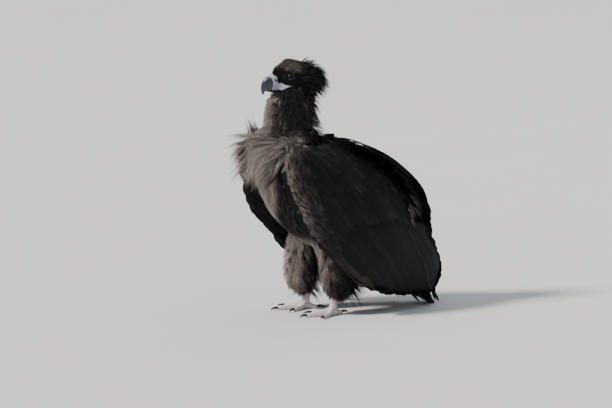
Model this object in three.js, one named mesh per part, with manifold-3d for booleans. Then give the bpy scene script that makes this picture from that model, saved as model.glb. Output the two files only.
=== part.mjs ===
// A standing cinereous vulture (Aegypius monachus, the Eurasian black vulture) at life size, as a still
// model. The bird looks along -Y, its left side is +X, and +Z is up. Sizes are in millimetres.
// Every place is given as forward, left, up, measured from the floor midway between the two feet, and
// the whole group is then moved so that the origin is under the middle of the bird.
import * as THREE from "three";
import { mergeVertices } from "three/addons/utils/BufferGeometryUtils.js";
import Module from "manifold-3d";

const wasm = await Module();
wasm.setup();

// ---- driving dimensions ----
const GAP = 0.3; // between neighbouring pieces
const CENTRE_BEHIND_FEET = 60.5; // from the feet back to the middle of the bird's length
const CENTRE_RIGHT_OF_FEET = 0;
const STANCE = 67; // from the midline to each foot
const STRIDE = 15; // the right foot stands this far ahead and the left one this far behind
const FOOT_KNUCKLE_UP = 20;
const SHANK_RADIUS = 10.5;
const LEFT_TROUSERS = { ahead: -14, front: 52, back: 64 }; // from the foot to their middle, then their depths
const RIGHT_TROUSERS = { ahead: 18, front: 50, back: 50 };
const HEAD_AT = [95, 0, 725]; // the middle of the skull
const HEAD_YAW = -20; // degrees, turned towards the bird's right
const EYE_RADIUS = 10.5;
const EYE_AT = [4, 28.5, 13]; // in the head's own frame
const ORBIT_RADIUS = 24; // the hollow of the face round the eye
const ORBIT_AT = [8, 57, 10];
const CERE_TO_HORN = { at: [62, 0, -12], lean: 18 }; // the cut between them, and its slant in degrees
const WING_THICKNESS = { shoulder: 30, tip: 7, edge: 6 };
const HAND_STARTS = 0.42; // share of the wing's length where the coverts end
const WING_ROWS = { primaries: 3, secondaries: 4 }; // equal steps of its height, from the lower border up
const WING_TIPS = { count: 11, depth: 9, from: 0.55, full: 0.75 }; // scallops along the lower border
const WING_LOWEST = 16; // no feather of the wing hangs below this
const WING_BULGE = 10;
const WING_WRAP = 2.7; // the higher, the later the wing turns in towards the back
const LEFT_WING_SLIP = { down: 0, ahead: 0 };
const RIGHT_WING_SLIP = { down: 26, ahead: 24 }; // its lower border hangs lower and further forward
const TAIL_FEATHERS = 12;
const TAIL_HALF_WIDTH = { root: 34, end: 52 };
const TAIL_THICKNESS = 11;
const TAIL_ARCH = 9; // its edges hang this much lower at the root
const TAIL_END = { notch: 0.045, wedge: 0.08 }; // shares of its length, between the tips and at its edges
const TOES = [
  // heading from straight ahead, outwards; length without the claw; thickness at its root; claw's length
  { name: "inner", heading: -32, length: 66, radius: 9.5, claw: 27 },
  { name: "middle", heading: 4, length: 92, radius: 10, claw: 24 },
  { name: "outer", heading: 42, length: 72, radius: 9, claw: 21 },
  { name: "hind", heading: 196, length: 36, radius: 9, claw: 24 },
];

const COLOURS = {
  plumage: [0x231e1c, 0.85],
  breast: [0x4a3f38, 0.9],
  crown: [0x3d3632, 0.92],
  flight: [0x1b1817, 0.6],
  horn: [0x16161a, 0.35],
  cere: [0x9c98b4, 0.5],
  eye: [0x120c0a, 0.1],
  skin: [0xb9b3b4, 0.6],
  claw: [0x141214, 0.4],
};

// ---- places and curves ----
const place = (forward, left, up) => new THREE.Vector3(left, -forward, up);
const curveThrough = (points) => new THREE.CatmullRomCurve3(points, false, "centripetal");
const mix = THREE.MathUtils.lerp;
const rad = THREE.MathUtils.degToRad;
const signedPower = (x, p) => Math.sign(x) * Math.abs(x) ** p;

// ---- solids ----
function solidOf(geometry) {
  const merged = mergeVertices(geometry, 1e-4);
  const triVerts = new Uint32Array(merged.index.array);
  const vertProperties = new Float32Array(merged.attributes.position.array);
  const made = new wasm.Manifold(new wasm.Mesh({ numProp: 3, vertProperties, triVerts }));
  if (made.volume() >= 0) return made;
  for (let i = 0; i < triVerts.length; i += 3) {
    [triVerts[i + 1], triVerts[i + 2]] = [triVerts[i + 2], triVerts[i + 1]];
  }
  return new wasm.Manifold(new wasm.Mesh({ numProp: 3, vertProperties, triVerts }));
}

// The closed surface through rings of points, with a fan over each end.
function skinRings(rings) {
  const count = rings[0].length;
  const points = rings.flat();
  const faces = [];
  for (let r = 0; r + 1 < rings.length; r++) {
    for (let i = 0; i < count; i++) {
      const a = r * count + i;
      const b = r * count + ((i + 1) % count);
      faces.push(a, b, b + count, a, b + count, a + count);
    }
  }
  for (const [first, flip] of [[0, true], [(rings.length - 1) * count, false]]) {
    const centre = points.length;
    const middle = new THREE.Vector3();
    for (let i = 0; i < count; i++) middle.addScaledVector(points[first + i], 1 / count);
    points.push(middle);
    for (let i = 0; i < count; i++) {
      const a = first + i;
      const b = first + ((i + 1) % count);
      faces.push(...(flip ? [b, a, centre] : [a, b, centre]));
    }
  }
  return solidOf(new THREE.BufferGeometry().setFromPoints(points).setIndex(faces));
}

// A rounded body along a line. Each station is [forward, left, up, half width, depth above, depth below],
// with both depths square to the line. Half width runs along `across`, or else along the bird's left.
function loft(stations, options = {}) {
  const { rings = 14, sides = 18, square = 0.9, across = new THREE.Vector3(1, 0, 0) } = options;
  const line = curveThrough(stations.map(([f, l, u]) => place(f, l, u)));
  const sizes = curveThrough(stations.map((s) => new THREE.Vector3(s[3], s[4], s[5])));
  const made = [];
  for (let r = 0; r <= rings; r++) {
    const t = r / rings;
    const centre = line.getPoint(t);
    const ahead = line.getTangent(t);
    const up = new THREE.Vector3().crossVectors(ahead, across).normalize();
    const side = new THREE.Vector3().crossVectors(up, ahead).normalize();
    const size = sizes.getPoint(t);
    made.push(Array.from({ length: sides }, (_, i) => {
      const angle = (i / sides) * 2 * Math.PI;
      const c = signedPower(Math.cos(angle), square);
      const s = signedPower(Math.sin(angle), square);
      const depth = s > 0 ? size.y : size.z;
      return centre.clone()
        .addScaledVector(side, c * size.x)
        .addScaledVector(up, s * depth);
    }));
  }
  return skinRings(made);
}

// A plate between an outer and an inner surface over shares u and v, both given as functions.
function plate(outer, inner, [u0, u1, uSteps], [v0, v1, vSteps]) {
  const rings = [];
  for (let i = 0; i <= uSteps; i++) {
    const u = mix(u0, u1, i / uSteps);
    const ring = [];
    for (let j = 0; j <= vSteps; j++) ring.push(outer(u, mix(v0, v1, j / vSteps)));
    for (let j = vSteps; j >= 0; j--) ring.push(inner(u, mix(v0, v1, j / vSteps)));
    rings.push(ring);
  }
  return skinRings(rings);
}

const without = (solid, ...cutters) => cutters.reduce((left, cutter) => left.subtract(cutter), solid);

// The solid joined with a copy whose vertices lie further out, as a cutter that leaves a gap round it.
function grown(solid, by = GAP * 1.5) {
  const { vertProperties, triVerts, numProp } = solid.getMesh();
  const geometry = new THREE.BufferGeometry();
  geometry.setAttribute("position", new THREE.BufferAttribute(new Float32Array(vertProperties), numProp));
  geometry.setIndex(new THREE.BufferAttribute(triVerts, 1));
  geometry.computeVertexNormals();
  const { position, normal } = geometry.attributes;
  for (let i = 0; i < position.array.length; i++) position.array[i] += normal.array[i] * by;
  geometry.deleteAttribute("normal");
  return solid.add(solidOf(geometry));
}

const moved = (solid, matrix) => solid.transform(matrix.toArray());
const largest = (solid) => solid.decompose().sort((a, b) => b.volume() - a.volume())[0];

// A large box whose one face holds the point `at` and looks along `normal`.
function halfSpace(at, normal) {
  const side = 2000;
  const box = new THREE.BoxGeometry(side, side, side).translate(0, 0, -side / 2);
  box.deleteAttribute("normal");
  box.deleteAttribute("uv");
  const boxUp = new THREE.Vector3(0, 0, 1);
  const turn = new THREE.Quaternion().setFromUnitVectors(boxUp, normal.clone().normalize());
  return solidOf(box.applyQuaternion(turn).translate(at.x, at.y, at.z));
}

const FLOOR = halfSpace(new THREE.Vector3(0, 0, 0), new THREE.Vector3(0, 0, 1));

// ---- trunk, neck and ruff ----
const trunkForm = () => loft([
  [104, 0, 572, 72, 62, 70],
  [112, 0, 505, 112, 93, 116],
  [98, 0, 432, 132, 100, 122],
  [44, 0, 362, 134, 117, 108],
  [-34, 0, 306, 120, 118, 90],
  [-112, 0, 262, 86, 88, 58],
  [-190, 0, 226, 42, 44, 30],
], { rings: 11, sides: 16 });

const neckForm = () => loft([
  [108, 0, 545, 70, 74, 76],
  [104, 0, 600, 66, 74, 76],
  [97, 0, 650, 62, 76, 74],
  [92, 0, 688, 56, 72, 56],
  [92, 0, 720, 44, 52, 34],
], { rings: 6, sides: 12 });

// The collar of long feathers stands out round the foot of the neck, furthest in front.
const ruffForm = () => loft([
  [104, 0, 586, 62, 66, 72],
  [106, 0, 558, 84, 84, 98],
  [114, 0, 527, 112, 109, 126],
  [122, 0, 492, 128, 114, 128],
  [126, 0, 462, 124, 104, 116],
], { rings: 5, sides: 14 });

// Two shocks of loose feathers that the wind has lifted off the right of the breast.
const breastPlume = () => loft([
  [186, -62, 500, 44, 34, 44],
  [222, -80, 482, 46, 34, 40],
  [250, -92, 466, 34, 28, 28],
  [268, -98, 454, 10, 12, 12],
], { rings: 5, sides: 10 });

const ruffTuft = () => loft([
  [178, -44, 530, 20, 16, 16],
  [192, -48, 556, 20, 12, 12],
  [203, -51, 580, 14, 8, 8],
  [208, -53, 600, 5, 3, 3],
], { rings: 4, sides: 8 });

// ---- head, in its own frame: forward along the bill, from the middle of the skull ----
const headFrame = new THREE.Matrix4()
  .makeTranslation(place(...HEAD_AT))
  .multiply(new THREE.Matrix4().makeRotationZ(rad(HEAD_YAW)));

const headForm = () => moved(loft([
  [-88, 0, -18, 14, 14, 20],
  [-72, 0, -10, 38, 34, 44],
  [-40, 0, 0, 48, 51, 58],
  [0, 0, 2, 46, 60, 54],
  [20, 0, 5, 38, 59, 47],
  [37, 0, 8, 22, 54, 38],
  [50, 0, 13, 15, 40, 30],
  [60, 0, 18, 9, 22, 14],
], { rings: 11, sides: 14 }), headFrame);

// A ball on one side of the head: the eye itself, or the hollow that it sits in.
function headBall([forward, left, up], radius, side, [sides, rows]) {
  const ball = new THREE.SphereGeometry(radius, sides, rows);
  ball.deleteAttribute("normal");
  ball.deleteAttribute("uv");
  const centre = place(forward, side * left, up);
  return moved(solidOf(ball.translate(centre.x, centre.y, centre.z)), headFrame);
}

const eyeForm = (side) => headBall(EYE_AT, EYE_RADIUS, side, [10, 7]);
const orbitForm = (side) => headBall(ORBIT_AT, ORBIT_RADIUS, side, [9, 6]);

const upperBillForm = () => moved(loft([
  [30, 0, -6, 17, 22, 22],
  [46, 0, -7, 16.5, 27.5, 23.5],
  [62, 0, -11, 13.5, 25, 20],
  [76, 0, -21, 9.5, 15.5, 14],
  [83.5, 0, -36, 6, 8, 8],
  [84.5, 0, -51, 1.4, 1.8, 1.8],
], { rings: 10, sides: 10, square: 0.95 }), headFrame);

const lowerBillForm = () => moved(loft([
  [20, 0, -33, 14, 6, 7],
  [45, 0, -37, 12, 5, 7],
  [66, 0, -40, 8, 3.5, 5.5],
  [73, 0, -40.5, 3, 2, 2.5],
], { rings: 5, sides: 8 }), headFrame);

function cereCut() {
  const lean = rad(CERE_TO_HORN.lean);
  const normal = place(Math.cos(lean), 0, -Math.sin(lean)).transformDirection(headFrame);
  return { at: place(...CERE_TO_HORN.at).applyMatrix4(headFrame), normal };
}

// ---- wings ----
// The lower border runs from the shoulder down the front edge to the tip, the upper one along the back.
const lowerBorder = curveThrough([
  place(160, 100, 534), place(196, 148, 472), place(160, 167, 336), place(52, 165, 226),
  place(-80, 147, 108), place(-205, 104, 64), place(-366, 44, 52),
]);
const upperBorder = curveThrough([
  place(122, 78, 548), place(-38, 40, 532), place(-168, 24, 478), place(-262, 16, 400),
  place(-316, 14, 300), place(-383, 16, 174), place(-396, 18, 118), place(-374, 34, 64),
]);

// Feather tips scallop the last part of the lower border.
function tipReach(t) {
  const { count, depth, from, full } = WING_TIPS;
  return THREE.MathUtils.smoothstep(t, from, full) * depth * Math.abs(Math.sin(t * count * Math.PI));
}

function wingPoint(t, s, slip) {
  const low = lowerBorder.getPointAt(t);
  const high = upperBorder.getPointAt(t);
  const hang = 1 - s;
  const point = low.clone().lerp(high, s);
  point.x = high.x + (low.x - high.x) * (1 - s ** WING_WRAP) + WING_BULGE * Math.sin(Math.PI * s) * (1 - t);
  const slipped = Math.sin(Math.PI * THREE.MathUtils.smoothstep(t, 0.1, 1)) * hang ** 2;
  point.y -= slip.ahead * slipped;
  point.z = Math.max(point.z - slip.down * slipped - tipReach(t) * hang ** 3, WING_LOWEST);
  return point;
}

function wingThickness(t, s) {
  const { shoulder, tip, edge } = WING_THICKNESS;
  const middle = mix(shoulder, tip, THREE.MathUtils.smoothstep(t, 0.1, 0.75));
  return mix(Math.min(edge, middle), middle, Math.sqrt(Math.sin(Math.PI * THREE.MathUtils.clamp(s, 0, 1))));
}

function wingNormal(t, s, slip) {
  const step = 0.01;
  const ahead = wingPoint(Math.min(t + step, 1), s, slip).sub(wingPoint(Math.max(t - step, 0), s, slip));
  const over = wingPoint(t, Math.min(s + step, 1), slip).sub(wingPoint(t, Math.max(s - step, 0), slip));
  const normal = new THREE.Vector3().crossVectors(over, ahead).normalize();
  return normal.x < 0 ? normal.negate() : normal;
}

function wingPatch(tRange, sRange, slip) {
  const outer = (t, s) => wingPoint(t, s, slip);
  const inner = (t, s) => outer(t, s).addScaledVector(wingNormal(t, s, slip), -wingThickness(t, s));
  return plate(outer, inner, tRange, sRange);
}

// Shares of the wing's length and height that each of its parts covers, with the steps of its grid. The
// grids meet point to point, so that the cuts between the parts stay clean.
const wingRows = WING_ROWS.primaries + WING_ROWS.secondaries;
const primariesBelow = WING_ROWS.primaries / wingRows;
const wingParts = {
  coverts: [[0, HAND_STARTS, 8], [0, 1, wingRows]],
  secondaries: [[HAND_STARTS, 1, 15], [primariesBelow, 1, WING_ROWS.secondaries]],
  primaries: [[HAND_STARTS, 1, 15], [0, primariesBelow, WING_ROWS.primaries]],
};

// The long inner feathers that close over the back and end in a free tip.
const tertialForm = () => loft([
  [-30, 26, 545, 20, 9, 9],
  [-120, 34, 512, 30, 10, 10],
  [-215, 34, 462, 32, 10, 10],
  [-300, 28, 385, 26, 9, 9],
  [-340, 18, 318, 15, 7, 7],
  [-354, 12, 280, 6, 3.5, 3.5],
], { rings: 8, sides: 8, square: 0.8 });

const MIRROR = new THREE.Matrix4().makeScale(-1, 1, 1);
const onSide = (side, solid) => (side > 0 ? solid : moved(solid, MIRROR));

// ---- tail ----
const tailLine = curveThrough([
  place(-178, 0, 214), place(-256, 0, 128), place(-322, 0, 46), place(-380, 0, 2),
]);

function tailForm() {
  const surface = (offset) => (t, s) => {
    const across = s * 2 - 1;
    const tipped = Math.abs(Math.sin((s * TAIL_FEATHERS * Math.PI) / 2));
    const share = t * (1 - TAIL_END.wedge * across ** 2 - TAIL_END.notch * (1 - tipped));
    const point = tailLine.getPointAt(share);
    const ahead = tailLine.getTangentAt(share);
    const up = new THREE.Vector3().crossVectors(ahead, new THREE.Vector3(1, 0, 0)).normalize();
    const half = mix(TAIL_HALF_WIDTH.root, TAIL_HALF_WIDTH.end, t);
    point.x = across * half;
    point.addScaledVector(up, offset - TAIL_ARCH * across ** 2 * (1 - t));
    return point;
  };
  const half = TAIL_THICKNESS / 2;
  const body = plate(surface(half), surface(-half), [0, 1, 7], [0, 1, TAIL_FEATHERS]);
  return without(body, FLOOR);
}

// ---- legs ----
const footAt = (side) => ({ forward: side > 0 ? -STRIDE : STRIDE, left: side * STANCE });

// The trousers: the loose feathers of the right leg lie ahead of its foot, and those of the left leg behind.
function thighForm(side) {
  const { forward, left } = footAt(side);
  const { ahead, front, back } = side > 0 ? LEFT_TROUSERS : RIGHT_TROUSERS;
  return loft([
    [12, left * 0.82, 262, 50, 56, 60],
    [mix(12, forward + ahead, 0.7), left * 0.94, 205, 50, front * 0.92, back],
    [forward + ahead, left, 150, 46, front, back],
    [forward + ahead, left, 106, 44, front, back * 0.96],
    [forward + ahead * 0.7, left, 76, 35, front * 0.7, back * 0.78],
    [forward + ahead * 0.5, left, 58, 16, front * 0.3, back * 0.4],
  ], { rings: 8, sides: 12 });
}

function shankForm(side) {
  const { forward, left } = footAt(side);
  return loft([
    [forward - 10, left, 92, SHANK_RADIUS, SHANK_RADIUS, SHANK_RADIUS],
    [forward - 4, left, 56, SHANK_RADIUS, SHANK_RADIUS, SHANK_RADIUS],
    [forward, left, FOOT_KNUCKLE_UP + 4, SHANK_RADIUS + 1, SHANK_RADIUS + 2, SHANK_RADIUS + 2],
  ], { rings: 3, sides: 8 });
}

// A toe bends over its knuckles; its underside is cut flat by the floor.
function toeStations({ heading, length, radius }, side) {
  const { forward, left } = footAt(side);
  const turn = rad(heading) * side;
  const [ahead, out] = [Math.cos(turn), Math.sin(turn)];
  const station = (share, up, r) =>
    [forward + ahead * length * share, left + out * length * share, up, r * 0.95, r, r];
  return [
    station(0, FOOT_KNUCKLE_UP - 3, radius * 1.05),
    station(0.3, 12, radius),
    station(0.55, radius * 0.68, radius * 0.86),
    station(0.8, radius * 0.62, radius * 0.82),
    station(1, radius * 0.54, radius * 0.6),
  ];
}

function toeAcross({ heading }, side) {
  const turn = rad(heading) * side;
  return place(-Math.sin(turn), Math.cos(turn), 0);
}

function footForm(side) {
  const { forward, left } = footAt(side);
  const pad = loft([
    [forward - 13, left, 10, 7, 6, 10],
    [forward, left, 12, 13, 10, 14],
    [forward + 14, left, 10, 9, 7, 11],
  ], { rings: 3, sides: 8 });
  const toes = TOES.map((toe) => (
    loft(toeStations(toe, side), { rings: 4, sides: 6, across: toeAcross(toe, side) })
  ));
  return without(toes.reduce((all, toe) => all.add(toe), pad), FLOOR);
}

// A claw springs from the toe's end in a quarter turn and ends just off the floor.
function clawForm(toe, side) {
  const { forward, left } = footAt(side);
  const turn = rad(toe.heading) * side;
  const [ahead, out] = [Math.cos(turn), Math.sin(turn)];
  const station = (reach, up, r) =>
    [forward + ahead * (toe.length + reach), left + out * (toe.length + reach), up, r * 0.75, r, r];
  return without(loft([
    station(-4, 6.5, 4.6),
    station(toe.claw * 0.35, 8.5, 4.2),
    station(toe.claw * 0.75, 6, 2.8),
    station(toe.claw, 1.6, 0.9),
  ], { rings: 4, sides: 6, across: toeAcross(toe, side) }), FLOOR);
}

// ---- assembly ----
const bird = new THREE.Group();
bird.name = "cinereous_vulture";
bird.position.copy(place(CENTRE_BEHIND_FEET, CENTRE_RIGHT_OF_FEET, 0));

function add(name, solid, [colour, roughness]) {
  const { vertProperties, triVerts, numProp } = solid.getMesh();
  const positions = new Float32Array((vertProperties.length / numProp) * 3);
  for (let i = 0; i < positions.length / 3; i++) {
    positions.set(vertProperties.subarray(i * numProp, i * numProp + 3), i * 3);
  }
  const geometry = new THREE.BufferGeometry();
  geometry.setAttribute("position", new THREE.BufferAttribute(positions, 3));
  geometry.setIndex(new THREE.BufferAttribute(triVerts, 1));
  geometry.computeVertexNormals();
  const material = new THREE.MeshStandardMaterial({ color: colour, roughness, metalness: 0 });
  const mesh = new THREE.Mesh(geometry, material);
  mesh.name = name;
  bird.add(mesh);
}

const SIDES = [["left", 1], ["right", -1]];
const tertials = SIDES.map(([, side]) => onSide(side, tertialForm()));
const aroundTertials = tertials.map((form) => grown(form));
const aroundWings = [];

SIDES.forEach(([word, side], i) => {
  const slip = side > 0 ? LEFT_WING_SLIP : RIGHT_WING_SLIP;
  const aroundParts = [];
  for (const [part, [tRange, sRange]] of Object.entries(wingParts)) {
    const form = onSide(side, wingPatch(tRange, sRange, slip));
    const colour = part === "coverts" ? COLOURS.plumage : COLOURS.flight;
    add(`wing_${word}_${part}`, largest(without(form, ...aroundTertials, ...aroundParts)), colour);
    aroundParts.push(grown(form));
  }
  aroundWings.push(...aroundParts);
  add(`wing_${word}_tertials`, tertials[i], COLOURS.flight);
});
const aroundUpper = [...aroundWings, ...aroundTertials];

const aroundTrunk = grown(trunkForm());
add("trunk", largest(without(trunkForm(), ...aroundUpper)), COLOURS.plumage);
add("tail", largest(without(tailForm(), aroundTrunk, ...aroundUpper)), COLOURS.flight);

const aroundNeck = grown(neckForm());
const aroundBill = [grown(upperBillForm()), grown(lowerBillForm())];
add("neck", largest(without(neckForm(), aroundTrunk, ...aroundUpper, ...aroundBill)), COLOURS.crown);

const aroundPlume = grown(breastPlume());
const aroundBody = [aroundTrunk, aroundNeck, ...aroundUpper];
add("ruff", largest(without(ruffForm(), aroundPlume, ...aroundBody)), COLOURS.breast);
add("breast_plume", largest(without(breastPlume(), ...aroundBody)), COLOURS.breast);
add("ruff_tuft", largest(without(ruffTuft(), grown(ruffForm()), aroundPlume, ...aroundBody)), COLOURS.breast);

const aroundEyes = SIDES.map(([, side]) => grown(eyeForm(side)));
const orbits = SIDES.map(([, side]) => orbitForm(side));
const aroundFace = [aroundNeck, ...aroundBill, ...orbits, ...aroundEyes];
add("head", largest(without(headForm(), ...aroundFace)), COLOURS.crown);
for (const [word, side] of SIDES) add(`eye_${word}`, eyeForm(side), COLOURS.eye);

const { at: cutAt, normal: cutNormal } = cereCut();
const cereEnd = cutAt.clone().addScaledVector(cutNormal, -GAP);
const inFront = halfSpace(cereEnd, cutNormal.clone().negate());
const behind = halfSpace(cutAt, cutNormal);
add("bill_upper", largest(without(upperBillForm(), behind)), COLOURS.horn);
add("cere", largest(without(upperBillForm(), inFront)), COLOURS.cere);
add("bill_lower", largest(without(lowerBillForm(), aroundBill[0])), COLOURS.horn);

for (const [word, side] of SIDES) {
  const thigh = thighForm(side);
  const shank = shankForm(side);
  const claws = TOES.map((toe) => clawForm(toe, side));
  add(`thigh_${word}`, largest(without(thigh, aroundTrunk, ...aroundWings)), COLOURS.plumage);
  add(`shank_${word}`, largest(without(shank, grown(thigh))), COLOURS.skin);
  const aroundFoot = [grown(shank), ...claws.map((claw) => grown(claw))];
  add(`foot_${word}`, largest(without(footForm(side), ...aroundFoot)), COLOURS.skin);
  TOES.forEach((toe, i) => add(`claw_${word}_${toe.name}`, claws[i], COLOURS.claw));
}

export default bird;
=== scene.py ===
"""The looks of a standing cinereous vulture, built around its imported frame: one skin, a coat of solid
feathers, and a modelled bill, eyes, feet and claws. Meshes and materials are in metres. The bird's and the
head's own places and the sizes of feathers are in millimetres."""

import math
from types import SimpleNamespace

import bpy
import numpy as np
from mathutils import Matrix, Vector
from mathutils.bvhtree import BVHTree


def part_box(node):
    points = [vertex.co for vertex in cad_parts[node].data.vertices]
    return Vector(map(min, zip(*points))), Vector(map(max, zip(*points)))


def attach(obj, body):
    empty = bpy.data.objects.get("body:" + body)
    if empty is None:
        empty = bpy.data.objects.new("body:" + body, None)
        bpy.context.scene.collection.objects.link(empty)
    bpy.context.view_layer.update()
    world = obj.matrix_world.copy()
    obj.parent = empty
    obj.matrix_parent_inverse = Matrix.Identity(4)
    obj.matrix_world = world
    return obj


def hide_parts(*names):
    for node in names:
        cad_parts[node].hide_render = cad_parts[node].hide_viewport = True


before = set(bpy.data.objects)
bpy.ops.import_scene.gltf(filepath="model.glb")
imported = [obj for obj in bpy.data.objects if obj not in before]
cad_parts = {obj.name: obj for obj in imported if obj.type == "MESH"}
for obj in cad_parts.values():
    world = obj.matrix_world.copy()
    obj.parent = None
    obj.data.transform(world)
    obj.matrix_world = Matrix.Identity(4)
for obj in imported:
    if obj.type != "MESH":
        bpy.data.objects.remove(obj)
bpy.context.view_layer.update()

MM = 0.001
BODY = "root"
BAKE_MAP = "OFBake"
SIDES = {"left": 1, "right": -1}
UP = np.array([0.0, 0.0, 1.0])


# ---------------------------------------------------------------- numbers
def unit(vectors):
    return vectors / np.maximum(np.linalg.norm(vectors, axis=-1, keepdims=True), 1e-9)


def smoothstep(low, high, x):
    t = np.clip((x - low) / (high - low), 0, 1)
    return t * t * (3 - 2 * t)


def mix(a, b, t):
    return a + (b - a) * t


def dot(a, b):
    return (a * b).sum(-1)


def spaced(t, values):
    """The values stand at even steps from 0 to 1, and are read at t."""
    return np.interp(t, np.linspace(0, 1, len(values)), values)


def bell(x, middle, width):
    return np.exp(-((x - middle) / width) ** 2)


def curve_through(points, count):
    """A smooth curve through the points, as `count` points at even parameters."""
    p = np.asarray(points, float)
    p = np.concatenate([[2 * p[0] - p[1]], p, [2 * p[-1] - p[-2]]])
    t = np.linspace(0, len(points) - 1 - 1e-9, count)
    i = t.astype(int)
    f = (t - i)[:, None]
    a, b, c, d = p[i], p[i + 1], p[i + 2], p[i + 3]
    return 0.5 * (2 * b + (c - a) * f + (2 * a - 5 * b + 4 * c - d) * f**2 + (3 * b - a - 3 * c + d) * f**3)


def on_line(line, at):
    """The line's points at the fractional indices."""
    indices = np.arange(len(line))
    return np.stack([np.interp(at, indices, line[:, axis]) for axis in range(line.shape[1])], -1)


# ---------------------------------------------------------------- places
# The bird looks along -Y and its left is +X. Its own places are (forward, left, up) in millimetres, from the
# floor midway between its ankles.
def box_middle(node):
    low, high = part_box(node)
    return np.array((low + high) / 2)


SHANK_LEAN = 1.7 * MM  # how far the shanks' middles are behind the ankles
ANKLES = np.array([0, np.mean([box_middle(f"shank_{side}")[1] for side in SIDES]) - SHANK_LEAN, 0])


def way(forward, left, up):
    return np.array([left, -forward, up], float)


def place(forward, left, up):
    return ANKLES + way(forward, left, up) * MM


def to_bird(points):
    away = (np.asarray(points) - ANKLES) / MM
    return np.stack([-away[..., 1], away[..., 0], away[..., 2]], -1)


# The head's own frame is found from its eyes.
EYE_AT = (4, 28.5, 13)
eye_middles = {side: box_middle(f"eye_{side}") for side in SIDES}
HEAD_LEFT = unit(eye_middles["left"] - eye_middles["right"])
HEAD_FORWARD = np.cross(HEAD_LEFT, UP)
HEAD = (eye_middles["left"] + eye_middles["right"]) / 2 - (HEAD_FORWARD * EYE_AT[0] + UP * EYE_AT[2]) * MM
HEAD_AXES = np.stack([HEAD_FORWARD, HEAD_LEFT, UP])


def head_place(points):
    return HEAD + np.asarray(points, float) @ HEAD_AXES * MM


def to_head(points):
    return (np.asarray(points) - HEAD) / MM @ HEAD_AXES.T


# ---------------------------------------------------------------- meshes
def in_scene(name, data):
    thing = bpy.data.objects.new(name, data)
    bpy.context.scene.collection.objects.link(thing)
    return thing


def new_mesh(name, vertices, faces, smooth=True):
    """A mesh from arrays; all its faces have the same number of corners."""
    faces = np.asarray(faces, np.int32)
    mesh = bpy.data.meshes.new(name)
    mesh.vertices.add(len(vertices))
    mesh.vertices.foreach_set("co", np.asarray(vertices, np.float32).ravel())
    mesh.loops.add(faces.size)
    mesh.loops.foreach_set("vertex_index", faces.ravel())
    mesh.polygons.add(len(faces))
    mesh.polygons.foreach_set("loop_start", np.arange(0, faces.size, faces.shape[1], dtype=np.int32))
    mesh.update(calc_edges=True)
    mesh.polygons.foreach_set("use_smooth", np.full(len(faces), smooth))
    return mesh


def new_piece(mesh, material, replaces=()):
    mesh.materials.append(material)
    piece = in_scene(mesh.name, mesh)
    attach(piece, BODY)
    if replaces:
        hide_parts(*replaces)
    return piece


def read(items, key, size=3, kind=np.float32):
    """One value or vector of each item, as the rows of an array."""
    values = np.empty(len(items) * size, kind)
    items.foreach_get(key, values)
    return values.reshape(-1, size)


def add_bake_map(mesh, places):
    """places holds a pair for each vertex."""
    corners = read(mesh.loops, "vertex_index", 1, np.int32)[:, 0]
    layer = mesh.uv_layers.new(name=BAKE_MAP)
    layer.data.foreach_set("uv", np.asarray(places, np.float32)[corners].ravel())


def add_number(mesh, name, values):
    attribute = mesh.attributes.new(name, "FLOAT", "POINT")
    attribute.data.foreach_set("value", np.asarray(values, np.float32))


def mesh_arrays(mesh):
    """The vertices of a mesh, and its triangles as indices."""
    mesh.calc_loop_triangles()
    return read(mesh.vertices, "co").astype(float), read(mesh.loop_triangles, "vertices", kind=np.int32)


def mesh_normals(mesh):
    return read(mesh.vertices, "normal").astype(float)


def mesh_edges(mesh):
    return read(mesh.edges, "vertices", 2, np.int32)


def search_tree(vertices, triangles):
    return BVHTree.FromPolygons(vertices.tolist(), triangles.tolist())


def grid_faces(rows, columns, closed=False):
    """Quads of a grid of rows x columns points, whose columns may close on themselves."""
    r = np.arange(rows - 1)[:, None]
    c = np.arange(columns if closed else columns - 1)[None, :]
    a = r * columns + c
    b = r * columns + (c + 1) % columns
    return np.stack([a, b, b + columns, a + columns], -1).reshape(-1, 4)


def joined(nodes):
    """The triangles of several CAD nodes, and the name of each triangle's node."""
    vertices, triangles, labels = [], [], []
    start = 0
    for name in nodes:
        v, t = mesh_arrays(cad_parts[name].data)
        vertices.append(v)
        triangles.append(t + start)
        labels += [name] * len(t)
        start += len(v)
    return np.concatenate(vertices), np.concatenate(triangles), np.array(labels)


def node_labels(nodes, points):
    """The name of the nearest CAD node at each point."""
    vertices, triangles, labels = joined(nodes)
    tree = search_tree(vertices, triangles)
    return labels[[tree.find_nearest(point)[2] for point in points.tolist()]]


def neighbour_mean(values, edges):
    total = np.zeros_like(values)
    np.add.at(total, edges[:, 0], values[edges[:, 1]])
    np.add.at(total, edges[:, 1], values[edges[:, 0]])
    count = np.bincount(edges.ravel(), minlength=len(values))
    return (total.T / count).T


def smoothed(values, edges, rounds):
    values = np.asarray(values, float)
    for _ in range(rounds):
        values = mix(neighbour_mean(values, edges), values, 0.5)
    return values


def relaxed(vertices, edges, rounds):
    """The surface smoothed without shrinking: each round goes in by a half and out again by a little more."""
    for _ in range(rounds):
        for share in (0.5, -0.52):
            vertices = mix(vertices, neighbour_mean(vertices, edges), share)
    return vertices


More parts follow.
